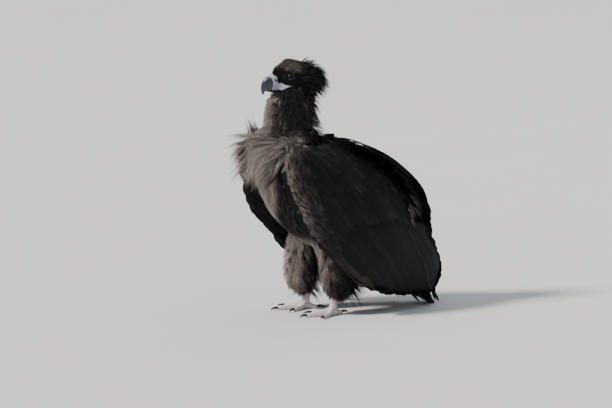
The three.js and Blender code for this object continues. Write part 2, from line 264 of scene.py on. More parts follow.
def melted(name, nodes, voxel, rounds):
    """The nodes' solids melted into one closed surface, smoothed for some rounds. voxel is in millimetres."""
    vertices, triangles, _ = joined(nodes)
    melt = in_scene("melt", new_mesh("melt", vertices, triangles))
    modifier = melt.modifiers.new("melt", "REMESH")
    modifier.mode = "VOXEL"
    modifier.voxel_size = voxel * MM
    modifier.use_smooth_shade = True
    mesh = bpy.data.meshes.new_from_object(melt.evaluated_get(bpy.context.evaluated_depsgraph_get()))
    bpy.data.objects.remove(melt)
    mesh.name = name
    move_vertices(mesh, relaxed(mesh_arrays(mesh)[0], mesh_edges(mesh), rounds))
    return mesh


def move_vertices(mesh, vertices):
    mesh.vertices.foreach_set("co", np.asarray(vertices, np.float32).ravel())
    mesh.update()


def shares_in_triangle(points, corners):
    """Barycentric shares of the points in their triangles, each given by its three corners."""
    a, b, c = corners[:, 0], corners[:, 1], corners[:, 2]
    ab, ac, ap = b - a, c - a, points - a
    bb, bc, cc = dot(ab, ab), dot(ab, ac), dot(ac, ac)
    pb, pc = dot(ap, ab), dot(ap, ac)
    whole = np.maximum(bb * cc - bc * bc, 1e-18)
    v = (cc * pb - bc * pc) / whole
    w = (bb * pc - bc * pb) / whole
    return np.stack([1 - v - w, v, w], -1)


def nearest_on(surface, points):
    """The nearest places on a surface, the index of the triangle there, and the shares of its corners."""
    hits = [surface.tree.find_nearest(point) for point in points.tolist()]
    spots, index = np.array([hit[0] for hit in hits]), np.array([hit[2] for hit in hits])
    shares = shares_in_triangle(spots, surface.vertices[surface.triangles[index]])
    return spots, index, shares[..., None]


# ---------------------------------------------------------------- guide
# The guide is the outside of the plumage, as one smooth surface. Feathers are laid along it.
FLESH = ["head", "neck", "ruff", "trunk", "thigh_left", "thigh_right", "wing_left_coverts",
         "wing_right_coverts"]


def quill_nodes(side):
    return [f"wing_{side}_{part}" for part in ("secondaries", "primaries", "tertials")]


QUILLS = [*quill_nodes("left"), *quill_nodes("right"), "tail"]
LOOSE = ["breast_plume", "ruff_tuft"]
GUIDE_VOXEL = 3.6
WING_AIM = place(-470, 0, -250)  # where the feathers of both wings point to
WIND = unit(way(0.95, -0.2, 0.1))  # it blows the loose plumes forward
BILL_ROOT = (62, 0, 0)  # in the head's own places; the feathers of the head spread from here
TRIES_PER_CELL = 3.2  # random places for each cell of which one place is kept
STIFFNESS = 0.6  # how much of its last heading a path keeps, against 1 for the new one


def make_guide():
    mesh = melted("guide", FLESH + QUILLS, GUIDE_VOXEL, 4)
    guide = SimpleNamespace(mesh=mesh)
    guide.vertices, guide.triangles = mesh_arrays(mesh)
    guide.edges = mesh_edges(mesh)
    guide.normals = unit(smoothed(mesh_normals(mesh), guide.edges, 2))
    guide.tree = search_tree(guide.vertices, guide.triangles)
    guide.labels = node_labels(FLESH + QUILLS, guide.vertices)
    guide.bird, guide.head = to_bird(guide.vertices), to_head(guide.vertices)
    guide.aims = feather_aims(guide)
    return guide


def on_nodes(guide, *starts):
    """Which of the guide's vertices are on nodes whose names start so."""
    return np.any([np.char.startswith(guide.labels, start) for start in starts], axis=0)


def feather_aims(guide):
    """The way the feathers point, at each vertex of the guide."""
    forward, _, up = guide.bird.T
    aims = np.zeros_like(guide.vertices)

    head = on_nodes(guide, "head")
    from_bill = unit(guide.head[head] - BILL_ROOT) + [-0.25, 0, -0.2]
    below = smoothstep(10, -50, guide.head[head][:, 2])[:, None]
    aims[head] = unit(unit(from_bill) + below * [0.1, 0, -1.2]) @ HEAD_AXES
    aims[on_nodes(guide, "neck")] = unit(way(-0.2, 0, -1))

    collar = on_nodes(guide, "ruff")
    ahead = forward[collar][:, None]
    swept = mix(way(-0.3, 0, -0.95), way(1, -0.1, -0.28), smoothstep(15, 75, ahead))
    aims[collar] = unit(mix(swept, way(0.34, -0.42, -0.84), smoothstep(110, 190, ahead)))

    trunk = on_nodes(guide, "trunk")
    chest = smoothstep(0, 120, forward[trunk])[:, None]
    aims[trunk] = unit(mix(way(-0.75, 0, -0.6), way(-0.12, 0, -1), chest))
    aims[on_nodes(guide, "thigh")] = unit(way(-0.12, 0, -1))
    aims[on_nodes(guide, "tail")] = unit(way(-0.66, 0, -0.75))

    wing = on_nodes(guide, "wing")
    shoulder = (smoothstep(380, 500, up) * smoothstep(20, 130, forward))[wing][:, None]
    aims[wing] = unit(mix(unit(WING_AIM - guide.vertices[wing]), way(-0.1, 0, -1), shoulder))
    return unit(smoothed(aims, guide.edges, 14))


def near(guide, points):
    """The nearest places on the guide, with its normals and aims there."""
    spots, index, shares = nearest_on(guide, points)
    corners = guide.triangles[index]
    return spots, unit((guide.normals[corners] * shares).sum(1)), unit((guide.aims[corners] * shares).sum(1))


def sown(guide, weight, spacing, seed):
    """Places on the guide about `spacing` millimetres apart, fewer where the vertices' weight is low."""
    rng = np.random.default_rng(seed)
    corners = guide.vertices[guide.triangles]
    sides = corners[:, 1:] - corners[:, :1]
    area = np.linalg.norm(np.cross(sides[:, 0], sides[:, 1]), axis=1) / 2 / MM**2
    chance = area * np.asarray(weight, float)[guide.triangles].mean(1)
    count = int(TRIES_PER_CELL * chance.sum() / spacing**2)
    picked = rng.choice(len(area), count, p=chance / chance.sum())
    shares = rng.dirichlet((1, 1, 1), count)[..., None]
    points = (corners[picked] * shares).sum(1)
    for _ in range(2):
        cells = np.floor(points / (spacing * MM) + rng.random(3)).astype(int)
        _, first = np.unique(cells, axis=0, return_index=True)
        points = points[np.sort(first)]
    return points[rng.permutation(len(points))]


def laid(guide, roots, lengths, rows, turn=0.0, curl=0.0, give=0.4):
    """Paths over the guide from each root along the feathers' aim, their normals, and their last rows on the
    guide. A path turns sideways by `turn` at its root and by `curl` more along its length. Where less than
    `give` of the aim lies along the guide, the path leaves it and goes straight on."""
    spots, normals, aims = near(guide, roots)
    paths, ups = [spots], [normals]
    lengths = np.broadcast_to(lengths, len(roots))
    step = (lengths * MM / (rows - 1))[:, None]
    free = np.zeros(len(roots), bool)
    ends = np.full(len(roots), rows - 1)
    heading = None
    for row in range(1, rows):
        flat = aims - normals * dot(aims, normals)[:, None]
        leaves = ~free & (np.linalg.norm(flat, axis=1) < give)
        ends[leaves] = row - 1
        free |= leaves
        side = np.cross(normals, unit(flat))
        angle = (turn + curl * (row - 0.5) / (rows - 1)) * np.ones(len(roots))
        along = unit(flat) * np.cos(angle)[:, None] + side * np.sin(angle)[:, None]
        if heading is not None:
            along = np.where(free[:, None], heading, unit(along + STIFFNESS * heading))
        heading = along
        ahead = paths[-1] + along * step
        spots, new_normals, new_aims = near(guide, ahead)
        straight = free[:, None]
        paths.append(np.where(straight, ahead, spots))
        normals = np.where(straight, normals, new_normals)
        aims = np.where(straight, aims, new_aims)
        ups.append(normals)
    return np.stack(paths, 1), np.stack(ups, 1), ends


# ---------------------------------------------------------------- shapes of feathers
# A shape is laid on a path: along runs from 0 at its root to 1 at its tip, side and rise are in half widths.
STRAND_RIDGE = 0.55  # height of a strand's ridge over its edges, in half widths
STRAND_ROOT = 0.25  # a strand's least half width before it tapers, as a share of its greatest
VANE_COLUMNS = 5
VANE_THICKNESS = 0.002  # in half widths


def halved(quads):
    """Each quad as two triangles."""
    return np.concatenate([quads[:, [0, 1, 2]], quads[:, [0, 2, 3]]])


def strand_shape(rows, start, reach, sides, rises, width, tone):
    """A tapering three-sided strand. Its line goes from `start` by `reach` along, through sides and rises."""
    t = np.linspace(0, 1, rows)
    belly = np.sin(np.pi * np.minimum(t * 1.25 + 0.18, 1)) ** 0.7
    half = width * mix(STRAND_ROOT, 1, belly) * np.clip((1 - t) * 3, 0.06, 1)
    along = np.repeat(start + reach * t, 3)
    side = np.repeat(spaced(t, sides), 3) + np.tile([-1.0, 0.0, 1.0], rows) * np.repeat(half, 3)
    rise = np.repeat(spaced(t, rises), 3) + np.tile([0.0, STRAND_RIDGE, 0.0], rows) * np.repeat(half, 3)
    tip = 3 * (rows - 1)
    ends = np.array([[0, 2, 1], [tip, tip + 1, tip + 2]])
    faces = np.concatenate([halved(grid_faces(rows, 3, closed=True)), ends])
    return [along, side, rise, np.full(3 * rows, tone)], faces


def vane_shape(seed, rows, dome, profile, torn, depths):
    """A flat vane with a shaft line and two notches: its top is a grid, its underside one strip. The profile
    gives half widths from root to tip, torn where along it the notches may be, and depths how deep."""
    wear, rng = np.random.default_rng(seed), np.random.default_rng(seed)
    notches = [(wear.uniform(*torn), wear.integers(0, 2), wear.uniform(*depths)) for _ in range(2)]
    t, across = np.linspace(0, 1, rows), np.linspace(-1, 1, VANE_COLUMNS)[None]
    half = spaced(t, profile)[:, None]
    edge = 1 + rng.normal(0, 0.035, (rows, 2))
    for at, side, depth in notches:
        edge[int(at * (rows - 1)), side] -= depth
    side = across * half * np.where(across < 0, edge[:, :1], edge[:, 1:])
    shaft = 0.05 * bell(across, 0, 0.12) * half**0.3
    rise = dome * (1 - np.abs(across) ** 1.5) * half + shaft
    along = np.repeat(t, VANE_COLUMNS).reshape(rows, VANE_COLUMNS)
    top = [along, side, rise, np.broadcast_to(across, side.shape)]
    under = [values[:, [0, -1]] for values in top]
    under[2] = under[2] - VANE_THICKNESS
    values = [np.concatenate([a.ravel(), b.ravel()]) for a, b in zip(top, under)]
    below = grid_faces(rows, 2)[:, ::-1] + rows * VANE_COLUMNS
    return values, halved(np.concatenate([grid_faces(rows, VANE_COLUMNS), below]))


CONTOUR = {"rows": 10, "dome": 0.06, "torn": (0.5, 0.95), "depths": (0.1, 0.3),
           "profile": (0.4, 0.8, 0.97, 1.0, 1.0, 0.96, 0.85, 0.6, 0.08)}
QUILL = {"rows": 24, "dome": 0.1, "torn": (0.6, 0.97), "depths": (0.05, 0.2),
         "profile": (0.6, 0.85, 1.0, 1.0, 1.0, 0.98, 0.95, 0.9, 0.8, 0.62, 0.34, 0.04)}


def together(shapes):
    """One shape of many."""
    start, columns, faces = 0, [], []
    for values, triangles in shapes:
        columns.append(np.stack(values))
        faces.append(triangles + start)
        start += len(values[0])
    return np.concatenate(columns, 1), np.concatenate(faces)


def tuft_shape(strands, rows, spread, lift, width, seed):
    """Strands that fan out from one root. Their sides and rises are at the root, midway and at the tip."""
    rng = np.random.default_rng(seed)
    shapes = []
    for i in range(strands):
        fan = (2 * (i + rng.random()) / strands - 1) * spread
        bend = rng.normal(0, 0.25)
        sides = [fan * 0.25, fan * 0.6 + bend, fan]
        top = lift * rng.random()
        rises = [rng.random() * 0.2, top * 0.45, top + rng.normal(0, 0.25)]
        thickness, tone = width * mix(0.7, 1.2, rng.random()), rng.uniform(-1, 1)
        shapes.append(strand_shape(rows, 0, mix(0.6, 1, rng.random()), sides, rises, thickness, tone))
    return together(shapes)


def lock_shape(strands, width, seed, rows=4, spread=1.2, lift=0.8, gather=0.5, wave=0.3):
    """A lock: strands that leave one root, stand apart midway and gather again towards the tip."""
    rng = np.random.default_rng(seed)
    shapes = []
    for i in range(strands):
        fan = (2 * (i + rng.random()) / strands - 1) * spread
        bend, top = rng.normal(0, wave), lift * rng.random()
        sides = [fan * 0.35, fan * 0.85 + bend, fan * (1 - gather)]
        rises = [rng.random() * 0.2, top, top * (1 - gather) + rng.normal(0, wave * 0.5)]
        start = 0.12 * rng.random()
        reach = mix(0.7, 1, rng.random()) - start
        thickness, tone = width * mix(0.7, 1.15, rng.random()), rng.uniform(-1, 1)
        shapes.append(strand_shape(rows, start, reach, sides, rises, thickness, tone))
    return together(shapes)


def several(make, count=6, **settings):
    return [make(seed=seed, **settings) for seed in range(count)]


# ---------------------------------------------------------------- coat
PATCH = 0.003  # size of each tuft's patch on the bake map
PATCH_SIDE = 3  # half widths to each side that the patch holds
ABOVE_FLOOR = 0.0006


def bent(paths, normals, values, widths):
    """A shape laid on every path. Its side and rise are in half widths."""
    along, side, rise = values[:3]
    rows = paths.shape[1]
    tangents = unit(np.gradient(paths, axis=1))
    at = along * (rows - 1)
    i = np.minimum(at.astype(int), rows - 2)
    f = (at - i)[None, :, None]

    def on_path(rows_of):
        return mix(rows_of[:, i], rows_of[:, i + 1], f)

    up = unit(on_path(normals))
    across = unit(np.cross(on_path(tangents), up))
    widths = (widths * MM)[:, None, None]
    return on_path(paths) + (across * side[None, :, None] + up * rise[None, :, None]) * widths


def coat_piece(name, batches, material, replaces=()):
    """One piece from batches of feathers. Each feather has one of its batch's shapes, by chance."""
    vertices, faces, places = [], [], []
    numbers = {key: [] for key in ("Along", "Across", "Brown", "Pale", "Chance")}
    start = 0
    for batch in batches:
        rng = np.random.default_rng(batch.seed)
        chance = rng.random(len(batch.paths))
        kind = rng.integers(0, len(batch.shapes), len(batch.paths))
        for k, (values, triangles) in enumerate(batch.shapes):
            chosen = kind == k
            if not chosen.any():
                continue
            along, side, _, across = values[:4]
            made = bent(batch.paths[chosen], batch.normals[chosen], values, batch.widths[chosen])
            made[..., 2] = np.maximum(made[..., 2], ABOVE_FLOOR)
            count, size = made.shape[:2]
            vertices.append(made.reshape(-1, 3))
            faces.append((triangles[None] + (start + np.arange(count) * size)[:, None, None]).reshape(-1, 3))
            start += count * size
            spread = np.stack([np.clip(side / PATCH_SIDE, -1, 1) / 2, along - 0.5], -1) * PATCH
            places.append((batch.uvs[chosen][:, None] + spread[None]).reshape(-1, 2))
            for key, each in (("Along", along), ("Across", across)):
                numbers[key].append(np.tile(each, count))
            for key, each in (("Chance", chance), ("Brown", batch.brown), ("Pale", batch.pale)):
                numbers[key].append(np.repeat(each[chosen], size))
    mesh = new_mesh(name, np.concatenate(vertices), np.concatenate(faces))
    add_bake_map(mesh, np.concatenate(places))
    for key, values in numbers.items():
        add_number(mesh, key, np.concatenate(values))
    print(f"{name}: {len(mesh.polygons)} triangles")
    return new_piece(mesh, material, replaces)


SOFT_REACH, FULL_REACH = np.array([170, 290]), np.array([186, 301])  # to each side and ahead


def within_reach(paths):
    """Paths that pass the soft reach are pressed back, so that none passes the full reach."""
    forward, left, up = np.moveaxis(to_bird(paths), -1, 0)
    room = FULL_REACH - SOFT_REACH

    def pressed(reach, i):
        over = (reach - SOFT_REACH[i]).clip(0)
        return np.minimum(reach, SOFT_REACH[i]) + room[i] * (1 - np.exp(-over / room[i]))

    left = np.sign(left) * pressed(np.abs(left), 0)
    return ANKLES + np.stack([left, -pressed(forward, 1), up], -1) * MM


def batch(guide, paths, normals, heights, shapes, widths, seed, blow=0.0):
    """Feathers on paths, raised by the heights from root to tip, and blown by the wind towards their tips."""
    t = np.linspace(0, 1, paths.shape[1])
    lift = np.stack([spaced(t, h) for h in np.atleast_2d(heights)])
    lift = np.broadcast_to(lift, paths.shape[:2]) * MM
    blow = np.broadcast_to(blow, len(paths))[:, None, None] * MM
    raised = paths + normals * lift[..., None] + WIND * blow * (t**1.8)[None, :, None]
    roots = paths[:, 0]
    brown, pale = markings(roots)
    widths = np.broadcast_to(np.asarray(widths, float), len(paths))
    return SimpleNamespace(paths=within_reach(raised), normals=normals, shapes=shapes, widths=widths,
                           seed=seed, uvs=skin_uvs(guide.skin, roots), brown=brown, pale=pale)


FREE_ROWS = 8


def flown(roots, headings, lengths, droop):
    """Free paths from the roots along the headings, with their ends drooping."""
    t = np.linspace(0, 1, FREE_ROWS)[None, :, None]
    lengths = np.asarray(lengths)[:, None, None] * MM
    paths = roots[:, None] + headings[:, None] * lengths * t - UP * lengths * droop * t**2
    ups = unit(np.cross(np.cross(headings, UP), headings))
    return paths, np.repeat(ups[:, None], FREE_ROWS, 1)


def free_locks(guide, rng, roots, heading, scatter, reach, shapes, width, seed, droop=0.0, heights=(0, 0, 0)):
    """Locks that leave the surface at their roots along the heading, with some scatter. reach is the range of
    their lengths."""
    headings = unit(heading + rng.normal(0, scatter, (len(roots), 3)))
    paths, ups = flown(roots, headings, rng.uniform(*reach, len(roots)), droop)
    return batch(guide, paths, ups, heights, shapes, width, seed)


WING_EDGE = ((231, 345, 455), (92, 150, 188))  # heights, and how far ahead the folded wing reaches there
NECK_RIDGE = 12  # from one ridge of the neck's plumes to the next


def behind_wing_edge(forward, up):
    return np.interp(up, *WING_EDGE) - forward


# The borders of the markings are soft: smoothstep(from, to, place), in the bird's or the head's own places.
def body_brown(forward, left, up):
    """How brown the breast, the collar, the trousers and the wings are."""
    side = np.abs(left)
    breast = smoothstep(20, 110, forward) * smoothstep(220, 330, up) * smoothstep(135, 105, side)
    brown = mix(0.1, mix(0.03, 0.25, smoothstep(400, 450, up)), breast)

    # Painted light and shade: the collar is painted lighter towards its top and front, where the sun falls,
    # and darker where it hangs over the shoulder, in shade.
    collar = smoothstep(58, 84, forward) * smoothstep(470, 500, up)
    shaded_over_shoulder = smoothstep(62, 84, side) * smoothstep(126, 108, forward) * smoothstep(542, 530, up)
    sunlit = mix(0.42, 0.88, smoothstep(90, 140, forward))
    brown = mix(brown, mix(0.34, sunlit, smoothstep(470, 520, up)), collar * (1 - 0.7 * shaded_over_shoulder))

    # Painted light and shade: the trousers are painted pale at the front, where the sun falls, and dark at
    # the back, in shade.
    trousers = smoothstep(282, 240, up) * smoothstep(120, 100, side)
    ahead_of_leg = forward + np.where(left > 0, 30, 0)  # the left leg stands further back
    brown = mix(brown, mix(0.08, 0.92, smoothstep(16, 66, ahead_of_leg)), trousers)

    behind = behind_wing_edge(forward, up)
    wing = smoothstep(122, 136, side) * smoothstep(535, 480, up)
    brown = mix(brown, mix(0.05, 0.22, smoothstep(80, 46, behind)), wing)
    return mix(brown, 0.34, wing * smoothstep(14, 2, behind))


def with_head_brown(brown, body, head):
    """The neck's ridges, its dark groove, cheek and nape, the black face, the crown and the pale throat."""
    forward, left, up = body
    ahead, _, above = head
    neck = smoothstep(556, 580, up) * smoothstep(-60, 0, forward)
    ridges = np.sin(2 * np.pi * (above + 0.4 * left) / NECK_RIDGE)
    brown = mix(brown, 0.3 + 0.16 * ridges, neck)
    groove = bell(ahead, 2, 16) * smoothstep(-30, -60, above)
    cheek = smoothstep(44, 26, ahead) * smoothstep(-112, -88, above)
    nape = smoothstep(-14, -32, ahead)
    brown = mix(brown, mix(0.04, 0.3, nape), neck * np.clip(groove + cheek + nape, 0, 1))

    face = smoothstep(-52, -38, above) * smoothstep(-90, -60, ahead)
    crown = smoothstep(24, 34, above) * smoothstep(-36, -14, ahead)
    brown = mix(brown, mix(0.0, 0.58, crown), face)
    throat = smoothstep(50, 68, ahead) * smoothstep(-34, -42, above)
    chin = smoothstep(30, 44, ahead) * smoothstep(-38, -42, above) * smoothstep(-62, -50, above)
    neck_foot = bell(ahead, -34, 20) * bell(above, -180, 24)
    return mix(brown, 0.92, np.clip(throat + chin + neck_foot * 0.75, 0, 1))


def markings(points):
    """How brown, from 0 for black to 1 for fawn, and how pale the plumage is at each place."""
    body, head = to_bird(points).T, to_head(points).T
    brown = with_head_brown(body_brown(*body), body, head)
    side = np.abs(body[1])
    collar_end = bell(body[0], 86, 10) * bell(body[2], 540, 12)
    collar_end *= smoothstep(46, 60, side) * smoothstep(114, 100, side)
    ear = bell(head[0], -25, 3.2) * bell(head[2], -20, 3.2)
    return brown, np.clip(collar_end * 0.8 + ear * 0.4, 0, 1)


# ---------------------------------------------------------------- skin
COAT_DEPTH = {"head": 4.5, "neck": 9, "ruff": 18, "trunk": 9, "thigh": 13, "wing": 3.2}
NAPE_FROM = -40  # ahead of the head's middle, so the nape is behind this
NAPE_DEPTH = 14.0
LEAST_DEPTH = 3.0
SKIN_VOXEL = 4.0


def make_skin(guide, material):
    """One skin for all the flesh. It lies inside the plumage by the coat's depth."""
    mesh = melted("skin", FLESH, SKIN_VOXEL, 3)
    vertices, _ = mesh_arrays(mesh)
    edges = mesh_edges(mesh)
    labels = node_labels(FLESH, vertices)
    depth = np.array([COAT_DEPTH[label.split("_")[0]] for label in labels])
    nape = np.isin(labels, ["head", "neck"]) & (to_head(vertices)[:, 0] < NAPE_FROM)
    depth = smoothed(np.where(nape, NAPE_DEPTH, depth) * MM, edges, 8)
    normals = unit(smoothed(mesh_normals(mesh), edges, 3))
    vertices = relaxed(vertices - normals * depth[:, None], edges, 4)
    spots, ups, _ = near(guide, vertices)
    short = (dot(vertices - spots, ups) + LEAST_DEPTH * MM).clip(0)
    move_vertices(mesh, vertices - ups * short[:, None])
    brown, pale = markings(mesh_arrays(mesh)[0])
    add_number(mesh, "Brown", brown)
    add_number(mesh, "Pale", pale * 0.4)
    piece = new_piece(mesh, material, FLESH)
    unwrap(piece)
    return skin_chart(piece.data)


def unwrap(piece):
    """The piece's own unwrap, as its bake map."""
    piece.data.uv_layers.new(name=BAKE_MAP)
    bpy.context.view_layer.objects.active = piece
    piece.select_set(True)
    bpy.ops.object.mode_set(mode="EDIT")
    bpy.ops.mesh.select_all(action="SELECT")
    bpy.ops.uv.smart_project(angle_limit=math.radians(70), island_margin=0.001)
    bpy.ops.object.mode_set(mode="OBJECT")
    piece.select_set(False)


def skin_chart(mesh):
    """What skin_uvs reads: the skin's triangles with their places on the unwrap."""
    chart = SimpleNamespace()
    chart.vertices, chart.triangles = mesh_arrays(mesh)
    corners = read(mesh.loop_triangles, "loops", kind=np.int32)
    chart.uvs = read(mesh.uv_layers[BAKE_MAP].data, "uv", 2)[corners]
    chart.tree = search_tree(chart.vertices, chart.triangles)
    return chart


def skin_uvs(chart, points):
    _, index, shares = nearest_on(chart, points)
    return (chart.uvs[index] * shares).sum(1)


# ---------------------------------------------------------------- materials
class Graph:
    """A node material around one Principled shader, whose constants are set on its own sockets."""

    def __init__(self, name, **sockets):
        self.material = bpy.data.materials.new(name)
        self.material.use_nodes = True
        self.tree = self.material.node_tree
        self.shader = self.tree.nodes["Principled BSDF"]
        for socket, value in sockets.items():
            self.shader.inputs[socket.replace("_", " ")].default_value = value

    def add(self, kind, inputs=None, **settings):
        node = self.tree.nodes.new("ShaderNode" + kind)
        for key, value in settings.items():
            setattr(node, key, value)
        for key, value in (inputs or {}).items():
            self.join(value, node.inputs[key])
        return node

    def join(self, value, socket):
        if isinstance(value, bpy.types.NodeSocket):
            self.tree.links.new(value, socket)
        else:
            socket.default_value = value

    def base(self, colour):
        self.join(colour, self.shader.inputs["Base Color"])

    def number(self, name):
        return self.add("Attribute", attribute_name=name).outputs["Fac"]

    def math(self, operation, a, b=0.0):
        return self.add("Math", {0: a, 1: b}, operation=operation).outputs[0]

    def plus(self, a, b):
        return self.math("ADD", a, b)

    def times(self, a, b):
        return self.math("MULTIPLY", a, b)

    def centred(self, value):
        """A value from 0 to 1 as one from -0.5 to 0.5."""
        return self.math("SUBTRACT", value, 0.5)

    def between(self, value, low, high):
        """0 below low, 1 above high, smooth between."""
        inputs = {"Value": value, "From Min": low, "From Max": high}
        return self.add("MapRange", inputs, interpolation_type="SMOOTHSTEP").outputs[0]

    def ramp(self, value, stops):
        node = self.add("ValToRGB", {"Fac": value})
        elements = node.color_ramp.elements
        while len(elements) < len(stops):
            elements.new(0.5)
        for element, (at, colour) in zip(elements, stops):
            element.position = at
            element.color = (*colour, 1)
        return node.outputs["Color"]

    def blend(self, a, b, share, mode="MIX"):
        node = self.add("Mix", data_type="RGBA", blend_type=mode)
        for key, value in ((0, share), (6, a), (7, b)):
            if isinstance(value, tuple):
                value = (*value, 1)
            self.join(value, node.inputs[key])
        return node.outputs[2]

    def where(self):
        return self.add("TexCoord").outputs["Object"]

    def noise(self, scale, detail=3.0, rough=0.5, where=None):
        inputs = {"Scale": scale, "Detail": detail, "Roughness": rough, "Vector": where or self.where()}
        return self.add("TexNoise", inputs).outputs["Fac"]

    def bump(self, height, strength, distance):
        """distance is in metres."""
        node = self.add("Bump", {"Height": height, "Strength": strength, "Distance": distance})
        self.join(node.outputs["Normal"], self.shader.inputs["Normal"])


BLACK_BROWN = (0.0064, 0.0058, 0.0070)
DARK_BROWN = (0.0145, 0.0115, 0.0110)
TAUPE = (0.100, 0.078, 0.071)
FAWN = (0.33, 0.285, 0.262)
PALE_DOWN = (0.64, 0.59, 0.56)
PLUMAGE_STOPS = [(0.0, BLACK_BROWN), (0.25, DARK_BROWN), (0.55, TAUPE), (1.0, FAWN)]
ROOT_SHADE, SKIN_SHADE = (0.35, 0.33, 0.33), (0.5, 0.47, 0.46)  # the colour is multiplied by these
SHEEN_TINT = (0.72, 0.67, 0.66, 1)
BARBS = 420  # how close the barbs are along a vane


def cloudy_brown(graph):
    """The marking of the skin or the coat, a little uneven from place to place."""
    return graph.plus(graph.number("Brown"), graph.times(graph.centred(graph.noise(26, 4)), 0.22))


def feather_material(name, roughness, sheen, gloss, shaded, across=0.0):
    """A coat's material. Its feathers differ by chance, are worn at their tips, and lie in shade up to
    `shaded` of their length. across is how much their strands differ."""
    graph = Graph(name, Roughness=roughness, Specular_IOR_Level=gloss, Sheen_Weight=sheen,
                  Sheen_Roughness=0.5)
    graph.shader.inputs["Sheen Tint"].default_value = SHEEN_TINT
    along, chance = graph.number("Along"), graph.number("Chance")
    brown = graph.plus(cloudy_brown(graph), graph.times(graph.centred(chance), 0.3))
    brown = graph.plus(brown, graph.times(graph.number("Across"), across))
    brown = graph.plus(brown, graph.times(graph.between(along, 0.55, 1.0), 0.08))
    shade = graph.math("SUBTRACT", 1.0, graph.between(along, 0.0, shaded))
    colour = graph.blend(graph.ramp(brown, PLUMAGE_STOPS), ROOT_SHADE, shade, "MULTIPLY")
    pale = graph.times(graph.number("Pale"), graph.between(chance, 0.25, 0.45))
    graph.base(graph.blend(colour, PALE_DOWN, pale))
    return graph


def hair_material(name, roughness, sheen):
    graph = feather_material(name, roughness, sheen, gloss=0.16, shaded=0.5, across=0.1)
    graph.bump(graph.noise(900, 2), 0.2, 0.0006)
    return graph.material


def vane_material(name):
    """Feathers with barbs, which slant back from their shafts."""
    graph = feather_material(name, 0.5, 0.0, gloss=0.12, shaded=0.2)
    slant = graph.times(graph.math("ABSOLUTE", graph.number("Across")), -BARBS / 7)
    wave = graph.math("SINE", graph.plus(graph.times(graph.number("Along"), BARBS), slant))
    graph.bump(wave, 0.12, 0.0003)
    return graph.material


def skin_material():
    graph = Graph("plumage_skin", Roughness=0.85, Specular_IOR_Level=0.2)
    colour = graph.blend(graph.ramp(cloudy_brown(graph), PLUMAGE_STOPS), PALE_DOWN, graph.number("Pale"))
    graph.base(graph.blend(colour, SKIN_SHADE, 1.0, "MULTIPLY"))
    graph.bump(graph.noise(350, 5, 0.65), 0.6, 0.0015)
    return graph.material


# ---------------------------------------------------------------- plumage
GAPE_TOP = [(47, -5), (29.7, -7.5), (21, -10.9), (12, -12.6), (5.7, -13.5), (1.5, -15.2)]
GAPE_LOW = [(47, -28), (30, -27.6), (24, -25.2), (17, -21.2), (9, -17.6), (1.5, -16)]
GAPE_RIM = 0.6


def off_gape(guide):
    """0 on the fleshy corners of the mouth, 1 elsewhere on the guide."""
    ahead, _, above = guide.head.T
    top, low = (np.interp(ahead, *np.array(edge[::-1]).T) for edge in (GAPE_TOP, GAPE_LOW))
    return 1.0 - ((ahead > 0) & (above < top - GAPE_RIM) & (above > low + GAPE_RIM))


def clear_of(guide, nodes, distance):
    """1 on the guide, 0 nearer than `distance` millimetres to the nodes."""
    tree = search_tree(*joined(nodes)[:2])
    gaps = np.array([tree.find_nearest(v)[3] for v in guide.vertices.tolist()]) / MM
    return (gaps > distance).astype(float)


def tufts(guide, weight, spacing, seed, length, width, shapes, heights, rows, turn, curl=0.2, blow=0.0,
          give=0.4, true=-1.0):
    """Tufts all over a region. length, width and blow are millimetres, or functions of (forward, left, up). A
    tuft that goes less than the share `true` of its length along its aim is left out."""
    roots = sown(guide, weight, spacing, seed)
    rng = np.random.default_rng(seed + 1000)
    bird = to_bird(roots).T

    def at_roots(value):
        return value(*bird) if callable(value) else np.full(len(roots), float(value))

    size = rng.uniform(0.8, 1.2, len(roots))
    lengths = at_roots(length) * size
    turns, curls = rng.normal(0, turn, len(roots)), rng.normal(0, curl, len(roots))
    paths, ups, _ = laid(guide, roots, lengths, rows, turns, curls, give)
    blows = at_roots(blow) * rng.uniform(0.5, 1.3, len(roots))
    fine = keeps_aim(guide, paths, lengths, true)
    widths = at_roots(width) * size
    return batch(guide, paths[fine], ups[fine], heights, shapes, widths[fine], seed, blows[fine])


def keeps_aim(guide, paths, lengths, true):
    """Which paths go at least the share `true` of their length along their aim."""
    aims = near(guide, paths[:, 0])[2]
    return dot(paths[:, -1] - paths[:, 0], aims) > true * lengths * MM


def nape_length(forward, left, up):
    return mix(48, 38, smoothstep(660, 740, up))


